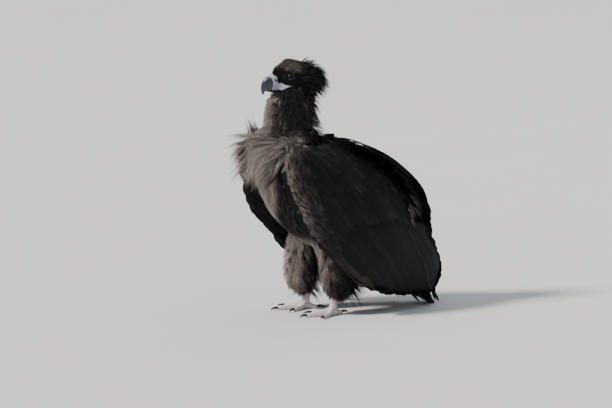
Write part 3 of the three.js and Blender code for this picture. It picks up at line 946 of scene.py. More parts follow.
def grow_head(guide, material):
    ahead, _, above = guide.head.T
    head, neck = on_nodes(guide, "head"), on_nodes(guide, "neck")
    feathered = head * clear_of(guide, ["cere", "bill_upper", "bill_lower"], 2.5)
    feathered *= clear_of(guide, ["eye_left", "eye_right"], 3.2) * off_gape(guide)
    crown = smoothstep(20, 28, above) * feathered
    behind = smoothstep(-34, -50, ahead)
    nape = np.maximum(behind * head, neck * smoothstep(10, -24, ahead) * smoothstep(-160, -120, above))
    face = feathered * (1 - crown) * (1 - behind * smoothstep(-60, -30, above))
    raised = nape * smoothstep(-135, -105, above)
    rear = feathered * smoothstep(-20, -38, ahead) * smoothstep(2, 16, above)

    down = several(tuft_shape, strands=5, rows=3, spread=1.5, lift=1.2, width=0.34)
    cap = several(lock_shape, strands=7, rows=3, spread=1.3, width=0.19)
    spikes = several(lock_shape, strands=9, spread=1.1, lift=1.0, width=0.16, gather=0.85)
    on_face = tufts(guide, face, spacing=2.6, seed=11, length=6, width=1.5, shapes=down,
                    heights=(-3.5, -1, -0.6), rows=4, turn=0.25)
    coat_piece("down_face", [on_face], material)
    on_crown = tufts(guide, crown, spacing=3.6, seed=12, length=18, width=2.6, shapes=cap,
                     heights=(-4, -1, 0.6), rows=5, turn=0.2, curl=0.5)
    coat_piece("down_crown", [on_crown], material)
    flat = tufts(guide, nape, spacing=6.3, seed=13, length=28, width=3.9, shapes=cap,
                 heights=(-12, -6, -3), rows=5, turn=0.25, curl=0.3)
    spiky = tufts(guide, raised, spacing=9.5, seed=14, length=nape_length, width=4.4, shapes=spikes,
                  heights=(-14, 0, 16, 30), rows=6, turn=0.35, curl=0.35)
    crest = tufts(guide, rear, spacing=9.0, seed=15, length=36, width=4.0, shapes=spikes,
                  heights=(-6, 6, 17, 28), rows=6, turn=0.45, curl=0.3)
    coat_piece("plumes_nape", [flat, spiky, crest], material)


def collar_length(forward, left, up):
    """Long plumes on the breast, short ones beside it and over the shoulders."""
    beside = smoothstep(58, 86, np.abs(left)) * smoothstep(126, 106, forward)
    return mix(42, 112, smoothstep(45, 130, forward)) * (1 - 0.5 * beside)


def collar_blow(forward, left, up):
    return 10 * smoothstep(120, 190, forward)


def grow_neck(guide, material):
    neck = on_nodes(guide, "neck") * clear_of(guide, ["bill_lower", "cere"], 3) * off_gape(guide)
    shag = several(lock_shape, 8, strands=8, rows=3, lift=1.3, width=0.17, gather=0.6, wave=0.5)
    plumes = tufts(guide, neck, spacing=5.9, seed=21, length=23, width=3.4, shapes=shag,
                   heights=(-8, -2, 2.5), rows=6, turn=0.4, curl=0.9)
    coat_piece("plumes_neck", [plumes], material)


def grow_ruff(guide, material):
    """The collar's plumes on each side with short ones in the crease round the neck, and the spray."""
    _, left, up = guide.bird.T
    collar, top = on_nodes(guide, "ruff"), guide.normals[:, 2]
    neck_foot = on_nodes(guide, "neck") * smoothstep(590, 572, up)
    crease = np.maximum(collar * smoothstep(0.3, 0.7, top), neck_foot)
    plumes = several(lock_shape, 8, strands=10, lift=0.9, width=0.115, gather=0.6)
    for name, sign in SIDES.items():
        half = (left * sign >= 0) * (top > -0.3)
        lower = tufts(guide, collar * half, spacing=8.4, seed=31 + sign, length=collar_length, width=6.0,
                      shapes=plumes, heights=(-16, -3, 1), rows=8, turn=0.14, curl=0.25, blow=collar_blow,
                      give=0.85)
        upper = tufts(guide, crease * half, spacing=7.5, seed=35 + sign, length=34, width=3.6,
                      shapes=plumes, heights=(-8, 2, 5), rows=7, turn=0.35, curl=0.4)
        coat_piece(f"ruff_{name}", [lower, upper], material)
    grow_spray(guide, plumes, material)


def grow_belly(guide, material):
    forward, _, up = guide.bird.T
    trunk = on_nodes(guide, "trunk")
    breast = trunk * smoothstep(-180, -150, forward)
    lower = breast * np.maximum(smoothstep(470, 430, up), smoothstep(40, 90, forward))
    lower = lower * (1 - trunk * (forward < 20) * (guide.normals[:, 2] > -0.2))
    streaks = several(lock_shape, strands=7, rows=3, width=0.15, gather=0.6)
    belly = tufts(guide, lower, spacing=10.5, seed=41, length=58, width=5.8, shapes=streaks,
                  heights=(-9, -2, 1.5), rows=7, turn=0.14, curl=0.25)
    coat_piece("plumes_belly", [belly], material)


def grow_trousers(guide, side, material):
    """Shaggy hair, a fringe over the shank, and a ragged fringe behind, painted darker as shade."""
    sign, up = SIDES[side], guide.bird[:, 2]
    thigh = on_nodes(guide, f"thigh_{side}")
    hair = several(lock_shape, strands=10, spread=1.4, lift=1.3, width=0.115, gather=0.4, wave=0.35)
    shag = tufts(guide, thigh, spacing=11.0, seed=51 + sign, length=52, width=6.2, shapes=hair,
                 heights=(-12, -1, 5), rows=7, turn=0.25, curl=0.5)
    rng = np.random.default_rng(57 + sign)
    roots = sown(guide, thigh * smoothstep(100, 76, up), 8.0, 55 + sign)
    hem = free_locks(guide, rng, roots, way(-0.1, 0, -1), scatter=0.16, reach=(18, 34), shapes=hair,
                     width=3.6, seed=59 + sign, heights=(-4, 0, 0))
    heel = thigh * smoothstep(60, 80, up) * smoothstep(165, 130, up) * (guide.normals[:, 1] > 0.25)
    roots = sown(guide, heel, 9.0, 83 + sign)
    ragged = free_locks(guide, rng, roots, way(-0.5, 0, -0.86), scatter=0.12, reach=(48, 84), shapes=hair,
                        width=5.4, seed=85 + sign, heights=(-6, 0, 0))
    # Painted shade: the ragged fringe behind the leg is painted dark.
    ragged.brown[:] = 0.12
    coat_piece(f"trousers_{side}", [shag, hem, ragged], material)


SPRAY_ROOT, SPRAY_TIP = place(180, -50, 508), place(276, -78, 456)
WISP_ROOT = place(184, -46, 522)
SPRAY_REACH = (296, 172)  # the spray stays within these, ahead and to the right
SPRAY_THICKNESS = 46
SPRAY_PLUMES, WISP_PLUMES = 230, 84


def grow_spray(guide, shapes, material):
    """The plumes that the wind has lifted off the right of the breast, and a wisp that stands up beside the
    neck."""
    rng = np.random.default_rng(37)
    heading = unit(SPRAY_TIP - SPRAY_ROOT)
    across = unit(np.cross(heading, UP))
    rise = np.cross(across, heading)
    angle, radius = rng.uniform(0, 2 * np.pi, (SPRAY_PLUMES, 1)), np.sqrt(rng.random((SPRAY_PLUMES, 1)))
    outwards = across * np.cos(angle) * radius * 0.7 + rise * np.sin(angle) * radius
    along = heading * rng.uniform(-25, 40, (SPRAY_PLUMES, 1))
    roots = SPRAY_ROOT + (outwards * SPRAY_THICKNESS + along) * MM
    headings = unit(heading + outwards * 0.22 + rng.normal(0, 0.07, (SPRAY_PLUMES, 3)))
    lengths = rng.uniform(66, 90, SPRAY_PLUMES) * mix(1, 0.8, radius[:, 0])
    for reach, towards in zip(SPRAY_REACH, (way(1, 0, 0), way(0, -1, 0))):
        room = reach - (roots - ANKLES) @ towards / MM
        lengths = np.minimum(lengths, room / np.maximum(headings @ towards, 0.01))
    paths, ups = flown(roots, headings, lengths, 0.16)
    spray = batch(guide, paths, ups, (0, 0, 0), shapes, 5.5, 39)

    roots = WISP_ROOT + rng.normal(0, 8, (WISP_PLUMES, 3)) * MM
    thick = several(lock_shape, strands=10, spread=1.1, lift=0.9, width=0.2, gather=0.75)
    wisp = free_locks(guide, rng, roots, way(0.3, -0.1, 0.93), scatter=0.09, reach=(50, 104), shapes=thick,
                      width=4.0, seed=41, droop=0.04)
    wisp.brown[:] = 0.6
    coat_piece("ruff_spray", [spray, wisp], material, LOOSE)


TERTIAL_LINE = [(-30, 26, 536), (-120, 34, 513), (-215, 34, 464), (-300, 28, 388), (-340, 18, 320),
                (-356, 12, 276)]
LINE_POINTS = 60
# under the tertials: how far each layer lies below their line, and how far to each side it reaches
UNDER_LAYERS = ((-5, 26), (3, 52), (13, 52), (26, 52), (40, 52))
UNDER_SPACING = 8.67  # from side to side
UNDER_STARTS, UNDER_LENGTH = (4, 16, 28, 38), 15  # points of the line
TAIL_FACE = way(-0.72, 0, 0.69)  # out of the tail's upper face
RUMP_LOCKS = 130
FRONT_LIT_AND_SHADED = {"left": 0.85, "right": 0.3}  # painted light and shade: the left wing's front, towards the sun, is painted lighter than the right wing's front, in shade
TERTIAL_HALF_WIDTH = (12, 28, 31, 25, 14, 4)
TERTIAL_SPANS = ((0, 36), (12, 50), (22, 59))  # points of the line where feathers start and end


def grow_mantle(guide, material):
    forward, left, up = guide.bird.T
    trunk = on_nodes(guide, "trunk")
    back = trunk * smoothstep(380, 430, up) * smoothstep(110, 70, forward)
    vanes = several(vane_shape, 5, **CONTOUR)
    back = np.maximum(back, trunk * (forward < -60))
    feathers = tufts(guide, back, spacing=12, seed=61, length=70, width=14, shapes=vanes,
                     heights=(-7, -2, -0.5), rows=7, turn=0.1, curl=0.1, true=0.75)

    slope = on_nodes(guide, "neck", "ruff", "trunk") * smoothstep(40, 10, forward) * smoothstep(500, 530, up)
    slope = slope * smoothstep(648, 620, up) * (guide.normals[:, 1] > -0.1)
    roots = sown(guide, slope, 8.5, 63)
    _, left, up = to_bird(roots).T[..., None]
    heading = mix(way(-0.86, 0, -0.5), way(-0.42, 0, -0.9), smoothstep(560, 630, up))
    heading = heading + way(0, 1, 0) * left / 160
    locks = several(lock_shape, strands=8, width=0.16, gather=0.6)
    hair = free_locks(guide, np.random.default_rng(64), roots, heading, scatter=0.08, reach=(60, 86),
                      shapes=locks, width=5.4, seed=65, droop=0.06, heights=(-6, 0, 2))
    hair.brown[:] = 0.24
    coat_piece("mantle", [feathers, hair] + under_tertials(guide, vanes), material)


def under_tertials(guide, shapes):
    """Dark feathers of the back, in layers below the tertials, that close the gaps between the wings."""
    rng = np.random.default_rng(66)
    line = curve_through([place(*spot) for spot in TERTIAL_LINE], LINE_POINTS)
    ups = unit(way(-0.5, 0, 0.86))
    layers = []
    for drop, reach in UNDER_LAYERS:
        paths = []
        for left in np.arange(-reach, reach + 1, UNDER_SPACING):
            for first in UNDER_STARTS:
                at = np.linspace(first, first + UNDER_LENGTH, 8) + rng.uniform(-2, 2)
                middle = on_line(line, at)
                middle[:, 0] = (left + rng.normal(0, 2)) * MM
                sunk = drop + 0.1 * abs(left) + np.interp(at, (0, 18), (26, 0))
                paths.append(middle - UP * sunk[:, None] * MM)
        paths = np.array(paths)
        layer = batch(guide, paths, np.broadcast_to(ups, paths.shape), (0, 0, 0), shapes, 12, 67 + drop)
        layer.brown[:] = 0.06
        layers.append(layer)
    return layers


RAY_EDGES = np.radians(np.arange(41, 84, 1.5))  # angles up from forward, between which the rays lie


def wing_reach(guide, side):
    """Rays from WING_AIM over the folded wing: their angles, and where on each the wing starts and ends."""
    ours = on_nodes(guide, f"wing_{side}") & (guide.normals[:, 0] * SIDES[side] > 0.1)
    away = guide.bird[ours][:, [0, 2]] - to_bird(WING_AIM)[[0, 2]]
    angle, radius = np.arctan2(away[:, 1], away[:, 0]), np.linalg.norm(away, axis=1)
    rays = []
    for low, high in zip(RAY_EDGES[:-1], RAY_EDGES[1:]):
        found = radius[(angle >= low) & (angle < high)]
        if len(found) > 3:
            rays.append(((low + high) / 2, found.min(), found.max()))
    return np.array(rays).T


def wing_row(guide, side, reach, depth, spacing, stagger):
    """Roots on a row across the wing. depth is 0 at the wing's far border and 1 at its shoulder."""
    sign = SIDES[side]
    angles, nearest, farthest = reach
    sweep = angles[-1] - angles[0]
    radius = mix(np.mean(nearest), np.mean(farthest), depth)
    count = int(sweep * radius / spacing)
    aim_forward, _, aim_up = to_bird(WING_AIM)
    roots = []
    for angle in angles[0] + (np.arange(count) + 0.5 * (stagger % 2) + 0.25) * sweep / count:
        r = mix(np.interp(angle, angles, nearest), np.interp(angle, angles, farthest), depth)
        outside = place(aim_forward + r * math.cos(angle), 420 * sign, aim_up + r * math.sin(angle))
        hit, _, index, _ = guide.tree.ray_cast(Vector(outside), Vector(way(0, -sign, 0)))
        if hit is not None and guide.labels[guide.triangles[index][0]].startswith(f"wing_{side}"):
            roots.append(np.array(hit))
    return np.array(roots)


QUILL_STEP, QUILL_ROWS = 8.0, 24


def shortened(paths, ups, ends, extra):
    """Each path cut at its end index plus `extra` of a step, as QUILL_ROWS points."""
    last = np.minimum(ends + extra, paths.shape[1] - 1.001)
    at = np.linspace(0, 1, QUILL_ROWS)[None, :] * last[:, None]
    i = at.astype(int)
    f = (at - i)[..., None]
    each = np.arange(len(paths))[:, None]
    return mix(paths[each, i], paths[each, i + 1], f), unit(mix(ups[each, i], ups[each, i + 1], f))


def quills(guide, roots, longest, width, heights, shapes, seed, spread=0.0, extra=0.7):
    """Long feathers from roots to the edge of the guide, and `extra` steps past it."""
    rng = np.random.default_rng(seed)
    turn = np.broadcast_to(spread, len(roots)) + rng.normal(0, 0.012, len(roots))
    curl = rng.normal(0, 0.02, len(roots))
    paths, ups, ends = laid(guide, roots, longest, int(longest / QUILL_STEP) + 1, turn, curl)
    paths, ups = shortened(paths, ups, ends, extra + rng.uniform(-1.3, 1.2, len(roots)))
    heights = np.asarray(heights, float)[None] + rng.uniform(-0.4, 0.4, (len(roots), 1))
    return batch(guide, paths, ups, heights, shapes, width, seed)


def tertials(guide, side, shapes):
    """The wing's innermost long feathers, one stack above and one below a line along the back."""
    rng = np.random.default_rng(310 + SIDES[side])
    line = curve_through([place(f, left * SIDES[side], up) for f, left, up in TERTIAL_LINE], LINE_POINTS)
    half = spaced(np.linspace(0, 1, LINE_POINTS), TERTIAL_HALF_WIDTH)[:, None]
    ahead = unit(np.gradient(line, axis=0))
    across = unit(np.cross(ahead, UP))
    over = np.cross(across, ahead)
    stacks = []
    for face in (1, -1):
        paths, ups = [], []
        for share in np.linspace(-0.62, 0.62, 9):
            for first, last in TERTIAL_SPANS:
                start, end = first + rng.uniform(0, 5), last - 7 * abs(share) - rng.uniform(0, 3)
                at = np.linspace(start, end, QUILL_ROWS)
                up = on_line(over, at) * face
                full_lift = 6.5 - 3 * share**2 - 1.5 * (first / TERTIAL_SPANS[-1][0])
                lift = np.interp(at, (0, 12), (-3.0, full_lift))[:, None]
                beside = on_line(across, at) * share * on_line(half, at)
                paths.append(on_line(line, at) + (beside + up * lift) * MM)
                ups.append(up)
        stacks.append(batch(guide, np.array(paths), np.array(ups), (-1, 0, 0), shapes, 11, 312 + face))
    return stacks


def grow_rump(guide, material):
    """White down between the wings, under the tertials' tips, and faint down over the wings' rear edge."""
    rng = np.random.default_rng(340)
    shapes = several(lock_shape, strands=8, spread=1.4, lift=1.2, width=0.16, gather=0.4)
    at, left = rng.random(RUMP_LOCKS), rng.uniform(-24, 24, RUMP_LOCKS)
    spots = zip(mix(-236, -316, at), left, mix(374, 296, at) + rng.uniform(-8, 8, RUMP_LOCKS))
    roots = np.stack([place(*spot) for spot in spots])
    rump = free_locks(guide, rng, roots, way(-0.5, 0, -0.86), scatter=0.15, reach=(34, 52), shapes=shapes,
                      width=5.0, seed=341, droop=0.05)
    rump.brown[:], rump.pale[:] = 0.4, 0.75

    forward, left, up = guide.bird.T
    patch = on_nodes(guide, "wing") * (np.abs(guide.normals[:, 0]) > 0.3) * (np.abs(left) > 30)
    patch = patch * (bell(forward, -278, 11) * bell(up, 314, 20))
    hanging = tufts(guide, patch, spacing=6.0, seed=342, length=40, width=3.4, shapes=shapes,
                    heights=(-2, 0.6, 1.5), rows=6, turn=0.12, curl=0.2)
    hanging.brown[:], hanging.pale[:] = 0.4, 0.36
    coat_piece("rump", [rump, hanging], material)


# rows of coverts: depth on the wing as wing_row has it, spacing, length and half width
COVERT_ROWS = [(0.74, 12, 92, 12), (0.80, 11, 78, 11), (0.85, 10, 64, 10), (0.89, 9, 54, 9),
               (0.925, 8.5, 46, 8), (0.955, 8, 40, 7), (0.98, 7.5, 36, 6.5)]


def grow_wing(guide, side, material):
    sign, reach = SIDES[side], wing_reach(guide, side)
    long_shapes, short_shapes = several(vane_shape, **QUILL), several(vane_shape, **CONTOUR)
    roots = wing_row(guide, side, reach, depth=0.52, spacing=12.5, stagger=0)
    flight = [quills(guide, roots, 400, 19, (-2.6, -1.2, -0.4), long_shapes, 71 + sign)]

    roots = wing_row(guide, side, reach, depth=0.66, spacing=16, stagger=1)
    rng = np.random.default_rng(75 + sign)
    lengths = 120 * rng.uniform(0.95, 1.05, len(roots))
    paths, ups, _ = laid(guide, roots, lengths, 16, rng.normal(0, 0.03, len(roots)))
    coverts = [batch(guide, paths, ups, (-2.4, -0.8, -0.3), long_shapes, 17, 76 + sign)]
    for i, (depth, spacing, length, width) in enumerate(COVERT_ROWS):
        roots = wing_row(guide, side, reach, depth, spacing, stagger=i)
        rng = np.random.default_rng(80 + 10 * i + sign)
        lengths = length * rng.uniform(0.9, 1.1, len(roots))
        paths, ups, _ = laid(guide, roots, lengths, 8, rng.normal(0, 0.06, len(roots)))
        fine = keeps_aim(guide, paths, lengths, 0.75)
        seed = 200 + 10 * i + sign
        coverts.append(batch(guide, paths[fine], ups[fine], (-2.6, -0.8, -0.1), short_shapes, width, seed))
    for row in coverts:
        row.pale[:] = 0
        row.brown[:] = np.minimum(row.brown, 0.1)

    inner = on_nodes(guide, *[f"wing_{side}_{part}" for part in ("coverts", "secondaries", "primaries")])
    inner &= guide.normals[:, 0] * sign < 0.35
    lining = tufts(guide, inner, spacing=13.5, seed=300 + sign, length=76, width=11, shapes=short_shapes,
                   heights=(-2.6, -0.8, -0.3), rows=8, turn=0.05, curl=0.05, true=0.75)
    # Painted shade: the feathers on the inner faces of the wings are painted black, as these faces lie in
    # shade.
    lining.brown[:] = 0.05
    coat_piece(f"wing_{side}_coat", coverts + [lining], material)
    flight += tertials(guide, side, long_shapes)
    coat_piece(f"wing_{side}_quills", flight, material, quill_nodes(side))


def shoulder_length(forward, left, up):
    return mix(16, 36, smoothstep(2, 16, behind_wing_edge(forward, up)))


def grow_shoulder(guide, side, material):
    """Fine feathers like hair along the front of the folded wing."""
    forward, _, up = guide.bird.T
    behind = behind_wing_edge(forward, up)
    front = on_nodes(guide, f"wing_{side}") * (guide.normals[:, 0] * SIDES[side] > -0.2)
    front = front * smoothstep(84, 52, behind) * smoothstep(5, 11, behind)
    shapes = several(lock_shape, strands=6, rows=3, spread=1.3, lift=0.6, width=0.15, gather=0.5)
    hair = tufts(guide, front, spacing=7.0, seed=330 + SIDES[side], length=shoulder_length, width=3.6,
                 shapes=shapes, heights=(-2, -0.4, 0.4), rows=5, turn=0.15, curl=0.25)
    forward, _, up = to_bird(hair.paths[:, 0]).T
    behind = behind_wing_edge(forward, up)
    # Painted light and shade: the wing's front is painted lighter on the sunlit left than on the shaded
    # right.
    hair.brown[:] = mix(0.3, FRONT_LIT_AND_SHADED[side], smoothstep(48, 12, behind)) + 0.1 * smoothstep(16, 8, behind)
    coat_piece(f"shoulder_{side}", [hair], material)


def grow_tail(guide, material):
    """Two layers of quills, one on each face of the fan."""
    shapes = several(vane_shape, **QUILL)
    batches = []
    for face in (1, -1):
        roots = []
        for left in np.linspace(-36, 36, 12):
            outside = place(-215, left, 185) + TAIL_FACE * 0.4 * face
            hit = guide.tree.ray_cast(Vector(outside), Vector(-TAIL_FACE * face))[0]
            if hit is not None:
                roots.append(np.array(hit))
        fan = np.linspace(-0.08, 0.08, len(roots)) * face
        batches.append(quills(guide, np.array(roots), 320, 17, (-2, -1, -0.3), shapes, 320 + face, fan,
                              extra=-0.6))
    coat_piece("tail_quills", batches, material, ["tail"])


# ---------------------------------------------------------------- bill
# profiles of the bill in the head's own places, ahead and up, from the forehead to the tip
CULMEN = [(39, 17.7), (48.5, 21), (58.8, 18.2), (70.7, 11.2), (81, 3), (87.9, -7.5), (91.3, -19.6),
          (91.7, -28.3), (90.4, -37), (87.9, -44.8), (84.4, -49.4)]
TOMIUM = [(33, -28.5), (42, -30.3), (53, -30.8), (62, -32.6), (71, -34.2), (77.5, -34.9), (80.4, -36.4),
          (81.4, -38.6), (82.2, -42.2), (83.2, -46.6), (84.2, -49.4)]
BILL_HALF_WIDTH = [17.5, 17, 15.6, 14, 12.4, 10.6, 8.8, 7.2, 5.4, 3.0, 0.4]
# (side in half widths, height from 0 at the cutting edge to 1 at the top), round one half of a section
BILL_SECTION = [(0, 1), (0.34, 0.955), (0.66, 0.8), (0.88, 0.58), (1.0, 0.3), (0.99, 0.08), (0.9, 0.0),
                (0.6, 0.05), (0, 0.08)]
# round one half of a section from its top: how far along the bill the cere reaches, with a hollow on the side
CERE_END = [(0, 0.315), (0.12, 0.285), (0.25, 0.225), (0.38, 0.195), (0.5, 0.2), (0.62, 0.235), (0.75, 0.25),
            (1, 0.25)]
BILL_ROWS, BILL_COLUMNS = 60, 96
CURVE_POINTS = 200


def folded(around):
    """From 0 at the top to 1 at the cutting edge and back, for a place round a section."""
    return 1 - np.abs(1 - 2 * around)


def bill_surface(along, around, grow):
    """Places on the upper bill: along 0 to 1 from the forehead to the tip, around 0 to 1 right round. It is
    thicker by `grow` millimetres."""
    outline = curve_through(np.column_stack([CULMEN, TOMIUM, BILL_HALF_WIDTH]), CURVE_POINTS)
    section = curve_through(BILL_SECTION, CURVE_POINTS)
    last = CURVE_POINTS - 1
    side, height = np.moveaxis(on_line(section, folded(around) * last), -1, 0)
    top, top_up, low, low_up, half = np.moveaxis(on_line(outline, along * last), -1, 0)
    tall = np.hypot(top - low, top_up - low_up) + 1e-6
    height = height + grow / tall * np.where(height > 0.5, 1, -0.3)
    left = side * (half + grow) * np.where(around < 0.5, 1, -1)
    return np.stack([mix(low, top, height), left, mix(low_up, top_up, height)], -1)


def cere_end(around):
    return np.interp(folded(around), *np.transpose(CERE_END))


def bill_grid():
    t, around = np.linspace(0, 1, BILL_ROWS), np.arange(BILL_COLUMNS) / BILL_COLUMNS
    return np.meshgrid(t, around, indexing="ij")


def tube_mesh(name, points):
    """A mesh from rings of points in the head's own places."""
    rows, columns = points.shape[:2]
    return new_mesh(name, head_place(points.reshape(-1, 3)), grid_faces(rows, columns, closed=True))


NOSTRIL, NOSTRIL_HALF = (47.6, -0.5), (1.9, 3.4)  # place and half sizes, ahead and up
NOSTRIL_DEPTH, NOSTRIL_RIM = 4.5, 0.7
CERE_START = -0.03  # along the bill, so that the first rows lie under the down
CERE_BACK = 300  # millimetres that those rows go back for each unit along


def make_horn(material):
    """The upper bill's horn, which starts inside the cere."""
    t, around = bill_grid()
    along = mix(0.8 * cere_end(around), 1.0, t**0.9)
    points = bill_surface(along, around, grow=smoothstep(0, 0.3, t) - 1)
    new_piece(tube_mesh("horn_upper", points), material, ["bill_upper"])


def make_cere(material):
    """The cere, with a rounded lip over the horn and a nostril on each side."""
    t, around = bill_grid()
    along = mix(CERE_START, cere_end(around), t)
    lip = np.sqrt(np.clip(1 - ((t - 0.9) / 0.1).clip(0) ** 2, 0, 1))
    points = bill_surface(along.clip(0, 1), around, grow=1.3 * lip - 0.6)
    points[..., 0] += np.minimum(along, 0) * CERE_BACK
    left = points[..., 1]
    off = np.linalg.norm((points[..., [0, 2]] - NOSTRIL) / NOSTRIL_HALF, axis=-1)
    beside = np.abs(left) > 4
    hole, rim = smoothstep(1.15, 0.75, off) * beside, bell(off, 1.35, 0.3) * beside
    points[..., 1] -= np.sign(left) * (NOSTRIL_DEPTH * hole - NOSTRIL_RIM * rim)
    mesh = tube_mesh("cere_skin", points)
    add_number(mesh, "Hole", hole.ravel())
    new_piece(mesh, material, ["cere"])


MANDIBLE_TOP = [(26, -27), (38, -31), (50, -32), (60, -33.4), (68, -34.6), (75, -36)]
MANDIBLE_LOW = [(26, -36), (38, -39), (50, -39.4), (60, -39), (68, -38.4), (75, -37)]
MANDIBLE_HALF_WIDTH = [15, 14.5, 13, 11, 8, 3]


def make_mandible(material):
    rows, columns = 30, 40
    top, low = curve_through(MANDIBLE_TOP, rows), curve_through(MANDIBLE_LOW, rows)
    half = curve_through(np.array(MANDIBLE_HALF_WIDTH)[:, None], rows)
    angle = np.arange(columns) / columns * 2 * math.pi
    height = (1 + np.cos(angle)) / 2
    ahead, up = (mix(low[:, [i]], top[:, [i]], height) for i in (0, 1))
    left = half * np.sin(angle) * (1 - 0.25 * (1 - height))
    new_piece(tube_mesh("horn_lower", np.stack([ahead, left, up], -1)), material, ["bill_lower"])


# millimetres to each side: well outside the head, where a ray misses it, and where it goes under the cere
GAPE_OUTSIDE, GAPE_MISSED, GAPE_DRAWN_IN = 70.0, 18, 15.5


def make_gape(guide, material):
    """The fleshy corner of the mouth, on both sides, laid on the head and drawn in under the cere."""
    rows, columns = 30, 24
    top, low = curve_through(GAPE_TOP, rows), curve_through(GAPE_LOW, rows)
    across = np.linspace(0, 1, columns)[None, :, None]
    flat = mix(top[:, None], low[:, None], across)
    swell = np.sqrt(np.clip(1 - (2 * across - 1) ** 2, 0, 1)) * 2.2 - 1.4
    groove = -0.9 * bell(across, 0.55, 0.07)
    vertices, faces, start = [], [], 0
    for sign in SIDES.values():
        out = HEAD_LEFT * sign

        def at_side(distance):
            left = np.full(flat.shape[:2], distance * sign)
            return head_place(np.stack([flat[..., 0], left, flat[..., 1]], -1))

        spots = []
        for outside in at_side(GAPE_OUTSIDE).reshape(-1, 3):
            hit = guide.tree.ray_cast(Vector(outside), Vector(-out))[0]
            missed = outside - out * (GAPE_OUTSIDE - GAPE_MISSED) * MM
            spots.append(missed if hit is None else np.array(hit))
        spots = np.array(spots).reshape(rows, columns, 3)
        spots = mix(spots, at_side(GAPE_DRAWN_IN), smoothstep(30, 46, flat[..., :1]))
        vertices.append((spots + out * (swell + groove) * MM).reshape(-1, 3))
        quads = grid_faces(rows, columns) + start
        faces.append(quads if sign > 0 else quads[:, ::-1])
        start += rows * columns
    mesh = new_mesh("gape", np.concatenate(vertices), np.concatenate(faces))
    add_number(mesh, "Hole", np.zeros(start))
    new_piece(mesh, material)


# ---------------------------------------------------------------- eyes
EYE_BALL = 10.0  # radius
LID_FLOOR = 3.9  # how far out from the eyeball's middle the lids' outer rings lie
EYE_OPENING = (8.6, 7.3)  # half widths of the opening, along and up


def eye_axes(side):
    """Ways along and over the opening of the eye, and out of it."""
    out = unit(HEAD_LEFT * SIDES[side] + HEAD_FORWARD * 0.2 + UP * 0.03)
    along, over = (unit(axis - out * (axis @ out)) for axis in (HEAD_FORWARD, UP))
    return along, over, out


def make_eye(side, material):
    """The eyeball, with a slightly raised cornea. Its number Out is the angle from its front."""
    along, over, out = eye_axes(side)
    rows, columns = 40, 48
    angle = np.linspace(0.001, math.pi, rows)[:, None]
    turn = np.arange(columns)[None] / columns * 2 * math.pi
    radius = EYE_BALL * (1 + 0.07 * bell(angle, 0, 0.55)) * MM
    ring = np.sin(angle)[..., None] * (np.cos(turn)[..., None] * along + np.sin(turn)[..., None] * over)
    points = eye_middles[side] + radius[..., None] * (np.cos(angle)[..., None] * out + ring)
    mesh = new_mesh(f"eyeball_{side}", points.reshape(-1, 3), grid_faces(rows, columns, closed=True))
    add_number(mesh, "Out", np.broadcast_to(angle, (rows, columns)).ravel())
    new_piece(mesh, material, [f"eye_{side}"])


# ring by ring from the eyeball outwards: (size of the opening, height over the eyeball's surface)
LID_RINGS = [(0.93, -0.9), (0.97, 0.1), (1.02, 0.75), (1.1, 1.15), (1.2, 1.1), (1.28, 0.6), (1.36, 0.75),
             (1.5, 1.0), (1.62, 0.5), (1.8, -0.4), (2.1, -2.0)]
LID_COLUMNS = 56


def make_lids(guide, side, material):
    """Both lids as one ring round the eye, whose outer edge lies under the down."""
    along, over, out = eye_axes(side)
    turn = np.arange(LID_COLUMNS) / LID_COLUMNS * 2 * math.pi
    brow = smoothstep(0.1, 0.9, np.sin(turn))
    corner = np.abs(np.cos(turn)) ** 6
    rings = []
    for size, height in LID_RINGS:
        x = EYE_OPENING[0] * (1 + 0.10 * corner) * np.cos(turn) * size
        y = (EYE_OPENING[1] - 1.0 * brow) * np.sin(turn) * size + (size - 1) * 2.5 * brow
        spread = np.hypot(x, y)
        on_ball = np.sqrt(np.clip(EYE_BALL**2 - spread**2, 0, None))
        level = np.where(spread < EYE_BALL * 0.93, on_ball, LID_FLOOR)
        level = np.maximum(level, LID_FLOOR - (spread - 9.3).clip(0) * 0.1)
        z = level + height * (1 + 0.7 * brow)
        rings.append(eye_middles[side] + (x[:, None] * along + y[:, None] * over + z[:, None] * out) * MM)
    rings = np.stack(rings)
    edge, normals, _ = near(guide, rings[-1])
    rings[-1] = edge - normals * 3.5 * MM
    rings[-2] = mix(rings[-2], edge - normals * 2.0 * MM, 0.6)
    faces = grid_faces(len(rings), LID_COLUMNS, closed=True)
    mesh = new_mesh(f"lids_{side}", rings.reshape(-1, 3), faces if SIDES[side] > 0 else faces[:, ::-1])
    new_piece(mesh, material)


# ---------------------------------------------------------------- legs
TOES = ("inner", "middle", "outer", "hind")
SCUTE = 4.6  # length of a plate on the toes and the shanks, in millimetres
ANKLE_HEIGHT, SHIN_FROM = 18, 45  # millimetres over the floor


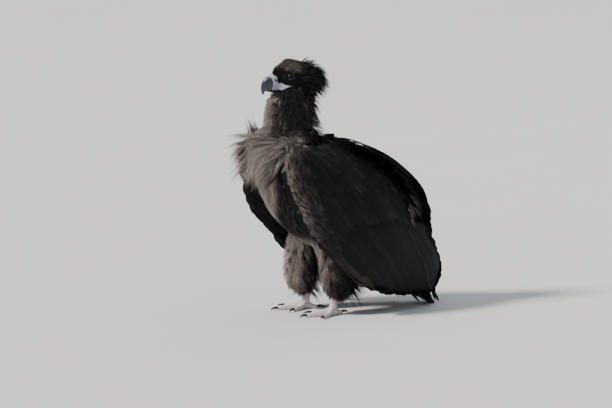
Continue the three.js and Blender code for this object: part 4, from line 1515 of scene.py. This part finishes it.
def make_legs(material):
    """Shanks and feet with rows of plates along their tops and fronts."""
    nodes = [f"{part}_{side}" for part in ("shank", "foot") for side in SIDES]
    mesh = melted("leg_skin", nodes, 1.7, 3)
    vertices, _ = mesh_arrays(mesh)
    normals = mesh_normals(mesh)
    nearest = np.full(len(vertices), 1e9)
    reach = np.zeros(len(vertices))
    for side in SIDES:
        ankle = np.array([*box_middle(f"shank_{side}")[:2], ANKLE_HEIGHT * MM])
        for toe in TOES:
            line = box_middle(f"claw_{side}_{toe}") - ankle
            t = np.clip((vertices - ankle) @ line / (line @ line), 0, 1)
            gap = np.linalg.norm(vertices - ankle - t[:, None] * line, axis=1)
            closer = gap < nearest
            nearest = np.where(closer, gap, nearest)
            reach = np.where(closer, t * np.linalg.norm(line) / MM, reach)
    height = vertices[:, 2] / MM
    shin = height > SHIN_FROM
    reach = np.where(shin, height, reach)
    front = smoothstep(0.1, 0.6, np.where(shin, -normals[:, 1], normals[:, 2]))
    plates = np.abs(np.sin(math.pi * reach / SCUTE)) ** 0.55
    swell = (plates - 0.7) * front * 0.9
    move_vertices(mesh, vertices + normals * swell[:, None] * MM)
    add_number(mesh, "Plate", plates * front)
    new_piece(mesh, material, nodes)


def make_claws(material):
    for side in SIDES:
        nodes = [f"claw_{side}_{toe}" for toe in TOES]
        new_piece(melted(f"claws_{side}", nodes, 0.9, 2), material, nodes)


# ---------------------------------------------------------------- materials of the bare parts
def cere_material():
    """Mauve-white, lighter at the top partly as a painted highlight, with a flush, flecks and black nostrils.
    """
    graph = Graph("cere", Roughness=0.42, Specular_IOR_Level=0.5, Subsurface_Weight=0.15,
                  Subsurface_Scale=0.004)
    height = graph.add("SeparateXYZ", {0: graph.where()}).outputs["Z"]
    # Partly painted highlight: the cere is paler towards its top, partly its own colour and partly a
    # highlight where the light falls.
    top = graph.between(height, HEAD[2] - 6 * MM, HEAD[2] + 16 * MM)
    flush = graph.times(graph.between(graph.noise(70, 3), 0.45, 0.7), 0.5)
    fleck = graph.times(graph.between(graph.noise(420, 4, 0.6), 0.52, 0.75), 0.4)
    colour = graph.blend((0.18, 0.175, 0.27), (0.37, 0.37, 0.48), top)
    colour = graph.blend(colour, (0.34, 0.22, 0.30), flush)
    colour = graph.blend(colour, (0.16, 0.14, 0.22), fleck)
    # Painted shade: the nostrils' hollows are painted near black, as the shade inside them.
    graph.base(graph.blend(colour, (0.01, 0.008, 0.01), graph.number("Hole")))
    graph.bump(graph.noise(300, 4, 0.6), 0.25, 0.0008)
    return graph.material


def grained_material(name, stops, grain, fine, strength, distance, stretch=(1, 1, 1), **sockets):
    """Colours by one noise and a bump by a finer one. Each noise is (scale, detail, roughness)."""
    graph = Graph(name, **sockets)
    where = graph.add("Mapping", {0: graph.where(), "Scale": stretch}).outputs[0]
    graph.base(graph.ramp(graph.noise(*grain, where), stops))
    graph.bump(graph.noise(*fine, where), strength, distance)
    return graph.material


def horn_material():
    """Blackish horn with a grain that is long in height."""
    stops = [(0.3, (0.008, 0.009, 0.013)), (0.6, (0.022, 0.026, 0.036)), (0.8, (0.06, 0.066, 0.08))]
    return grained_material("horn", stops, (160, 5, 0.6), (500, 4, 0.6), 0.2, 0.0005, stretch=(1, 1, 0.35),
                            Roughness=0.3, Specular_IOR_Level=0.5, Coat_Weight=0.2, Coat_Roughness=0.25)


def lid_material():
    stops = [(0.3, (0.02, 0.017, 0.022)), (0.75, (0.085, 0.07, 0.085))]
    return grained_material("lid", stops, (500, 4, 0.6), (700, 4, 0.5), 0.5, 0.0008, Roughness=0.55,
                            Specular_IOR_Level=0.4)


def claw_material():
    stops = [(0.3, (0.006, 0.006, 0.007)), (0.8, (0.04, 0.035, 0.034))]
    return grained_material("claw", stops, (220, 5, 0.6), (600, 4, 0.5), 0.25, 0.0004, Roughness=0.33,
                            Specular_IOR_Level=0.5)


def eye_material():
    """By the angle from the eye's front: a black pupil, a dark brown iris, and the white in shade."""
    graph = Graph("eye", Roughness=0.05, Specular_IOR_Level=0.22)
    out = graph.plus(graph.number("Out"), graph.times(graph.centred(graph.noise(900, 3)), 0.1))
    stops = [(0.0, (0.002, 0.002, 0.002)), (0.36, (0.003, 0.002, 0.002)), (0.42, (0.012, 0.006, 0.004)),
             (0.66, (0.02, 0.010, 0.006)), (0.78, (0.006, 0.004, 0.004)), (1.0, (0.02, 0.015, 0.015))]
    graph.base(graph.ramp(out, stops))
    return graph.material


def leg_material():
    """Small scales with darker gaps, pale plates and a little dirt."""
    graph = Graph("leg_skin", Roughness=0.55, Specular_IOR_Level=0.4, Subsurface_Weight=0.08,
                  Subsurface_Scale=0.003)
    cells = graph.add("TexVoronoi", {"Scale": 420.0}, feature="DISTANCE_TO_EDGE").outputs["Distance"]
    scales = graph.between(cells, 0.0, 0.12)
    dirt = graph.times(graph.between(graph.noise(60, 5, 0.65), 0.5, 0.72), 0.25)
    colour = graph.blend((0.46, 0.39, 0.39), (0.74, 0.67, 0.66), scales)
    colour = graph.blend(colour, (0.84, 0.78, 0.77), graph.number("Plate"))
    graph.base(graph.blend(colour, (0.22, 0.16, 0.12), dirt))
    graph.bump(scales, 0.5, 0.0007)
    return graph.material


# ---------------------------------------------------------------- stage
CAMERA_AZIMUTH, CAMERA_ELEVATION = math.radians(66), math.radians(10)
CAMERA_RIGHT = np.array([math.cos(CAMERA_AZIMUTH), math.sin(CAMERA_AZIMUTH), 0.0])
CAMERA_BACK = np.cross(CAMERA_RIGHT, UP) * math.cos(CAMERA_ELEVATION) + UP * math.sin(CAMERA_ELEVATION)
CAMERA_UP = np.cross(CAMERA_BACK, CAMERA_RIGHT)
CAMERA_DISTANCE = 30.0
FRAME_WIDTH = 1.867  # metres across the picture, at the bird
FRAME_MIDDLE = (-0.041, 0.3285)  # metres to the picture's right and up from between the ankles
SENSOR = 36.0  # the camera's own default, in millimetres
FLOOR_HALF = 60.0
LIGHTS_AIM = ANKLES + UP * 0.4
LIGHTS_AWAY = 5  # metres


def aimed(thing, place_at, target):
    thing.location = Vector(place_at)
    thing.rotation_euler = (Vector(target) - Vector(place_at)).to_track_quat("-Z", "Y").to_euler()


def make_camera():
    data = bpy.data.cameras.new("camera")
    data.sensor_width = SENSOR
    data.lens = SENSOR * CAMERA_DISTANCE / FRAME_WIDTH
    data.clip_end = 200
    camera = in_scene("camera", data)
    target = ANKLES + CAMERA_RIGHT * FRAME_MIDDLE[0] + CAMERA_UP * FRAME_MIDDLE[1]
    aimed(camera, target + CAMERA_BACK * CAMERA_DISTANCE, target)
    bpy.context.scene.camera = camera


def make_light(name, kind, direction, energy, colour=(1, 1, 1), **settings):
    data = bpy.data.lights.new(name, kind)
    data.energy, data.color = energy, colour
    for key, value in settings.items():
        setattr(data, key, value)
    aimed(in_scene(name, data), LIGHTS_AIM + unit(direction) * LIGHTS_AWAY, LIGHTS_AIM)


def make_stage():
    """A plain pale floor, a pale sky, a sun from the picture's left and a soft light from behind."""
    corners = np.array([(-1, -1, 0), (1, -1, 0), (1, 1, 0), (-1, 1, 0)]) * FLOOR_HALF
    graph = Graph("floor", Roughness=0.8, Specular_IOR_Level=0.2)
    graph.base(graph.ramp(graph.noise(3, 2), [(0.0, (0.80, 0.79, 0.77)), (1.0, (0.84, 0.83, 0.81))]))
    floor = new_mesh("floor", corners, np.array([[0, 1, 2, 3]]), smooth=False)
    floor.materials.append(graph.material)
    in_scene("floor", floor)
    world = bpy.data.worlds.new("studio")
    bpy.context.scene.world = world
    world.use_nodes = True
    background = world.node_tree.nodes["Background"]
    background.inputs["Color"].default_value = (0.82, 0.89, 0.98, 1)
    background.inputs["Strength"].default_value = 0.52
    sunny = -CAMERA_RIGHT + CAMERA_BACK * 0.45 + UP * 0.85
    make_light("key", "SUN", sunny, 4.4, (1, 0.95, 0.88), angle=math.radians(9))
    make_light("back", "AREA", CAMERA_RIGHT * 0.3 - CAMERA_BACK * 0.9 + UP * 1.2, 22, shape="DISK", size=2.0)


# ---------------------------------------------------------------- the bird
guide = make_guide()
guide.skin = make_skin(guide, skin_material())

down = hair_material("crown_down", roughness=0.8, sheen=0.04)
plumes = hair_material("ruff_plumes", roughness=0.7, sheen=0.12)
vanes = vane_material("flight_feathers")
grow_head(guide, down)
grow_neck(guide, plumes)
grow_ruff(guide, plumes)
grow_belly(guide, plumes)
for thigh_side in SIDES:
    grow_trousers(guide, thigh_side, plumes)
grow_mantle(guide, vanes)
for wing_side in SIDES:
    grow_wing(guide, wing_side, vanes)
    grow_shoulder(guide, wing_side, plumes)
grow_tail(guide, vanes)
grow_rump(guide, plumes)

cere, horn = cere_material(), horn_material()
make_horn(horn)
make_cere(cere)
make_mandible(horn)
make_gape(guide, cere)
eye, lid = eye_material(), lid_material()
for eye_side in SIDES:
    make_eye(eye_side, eye)
    make_lids(guide, eye_side, lid)
make_legs(leg_material())
make_claws(claw_material())
bpy.data.meshes.remove(guide.mesh)

make_stage()
make_camera()
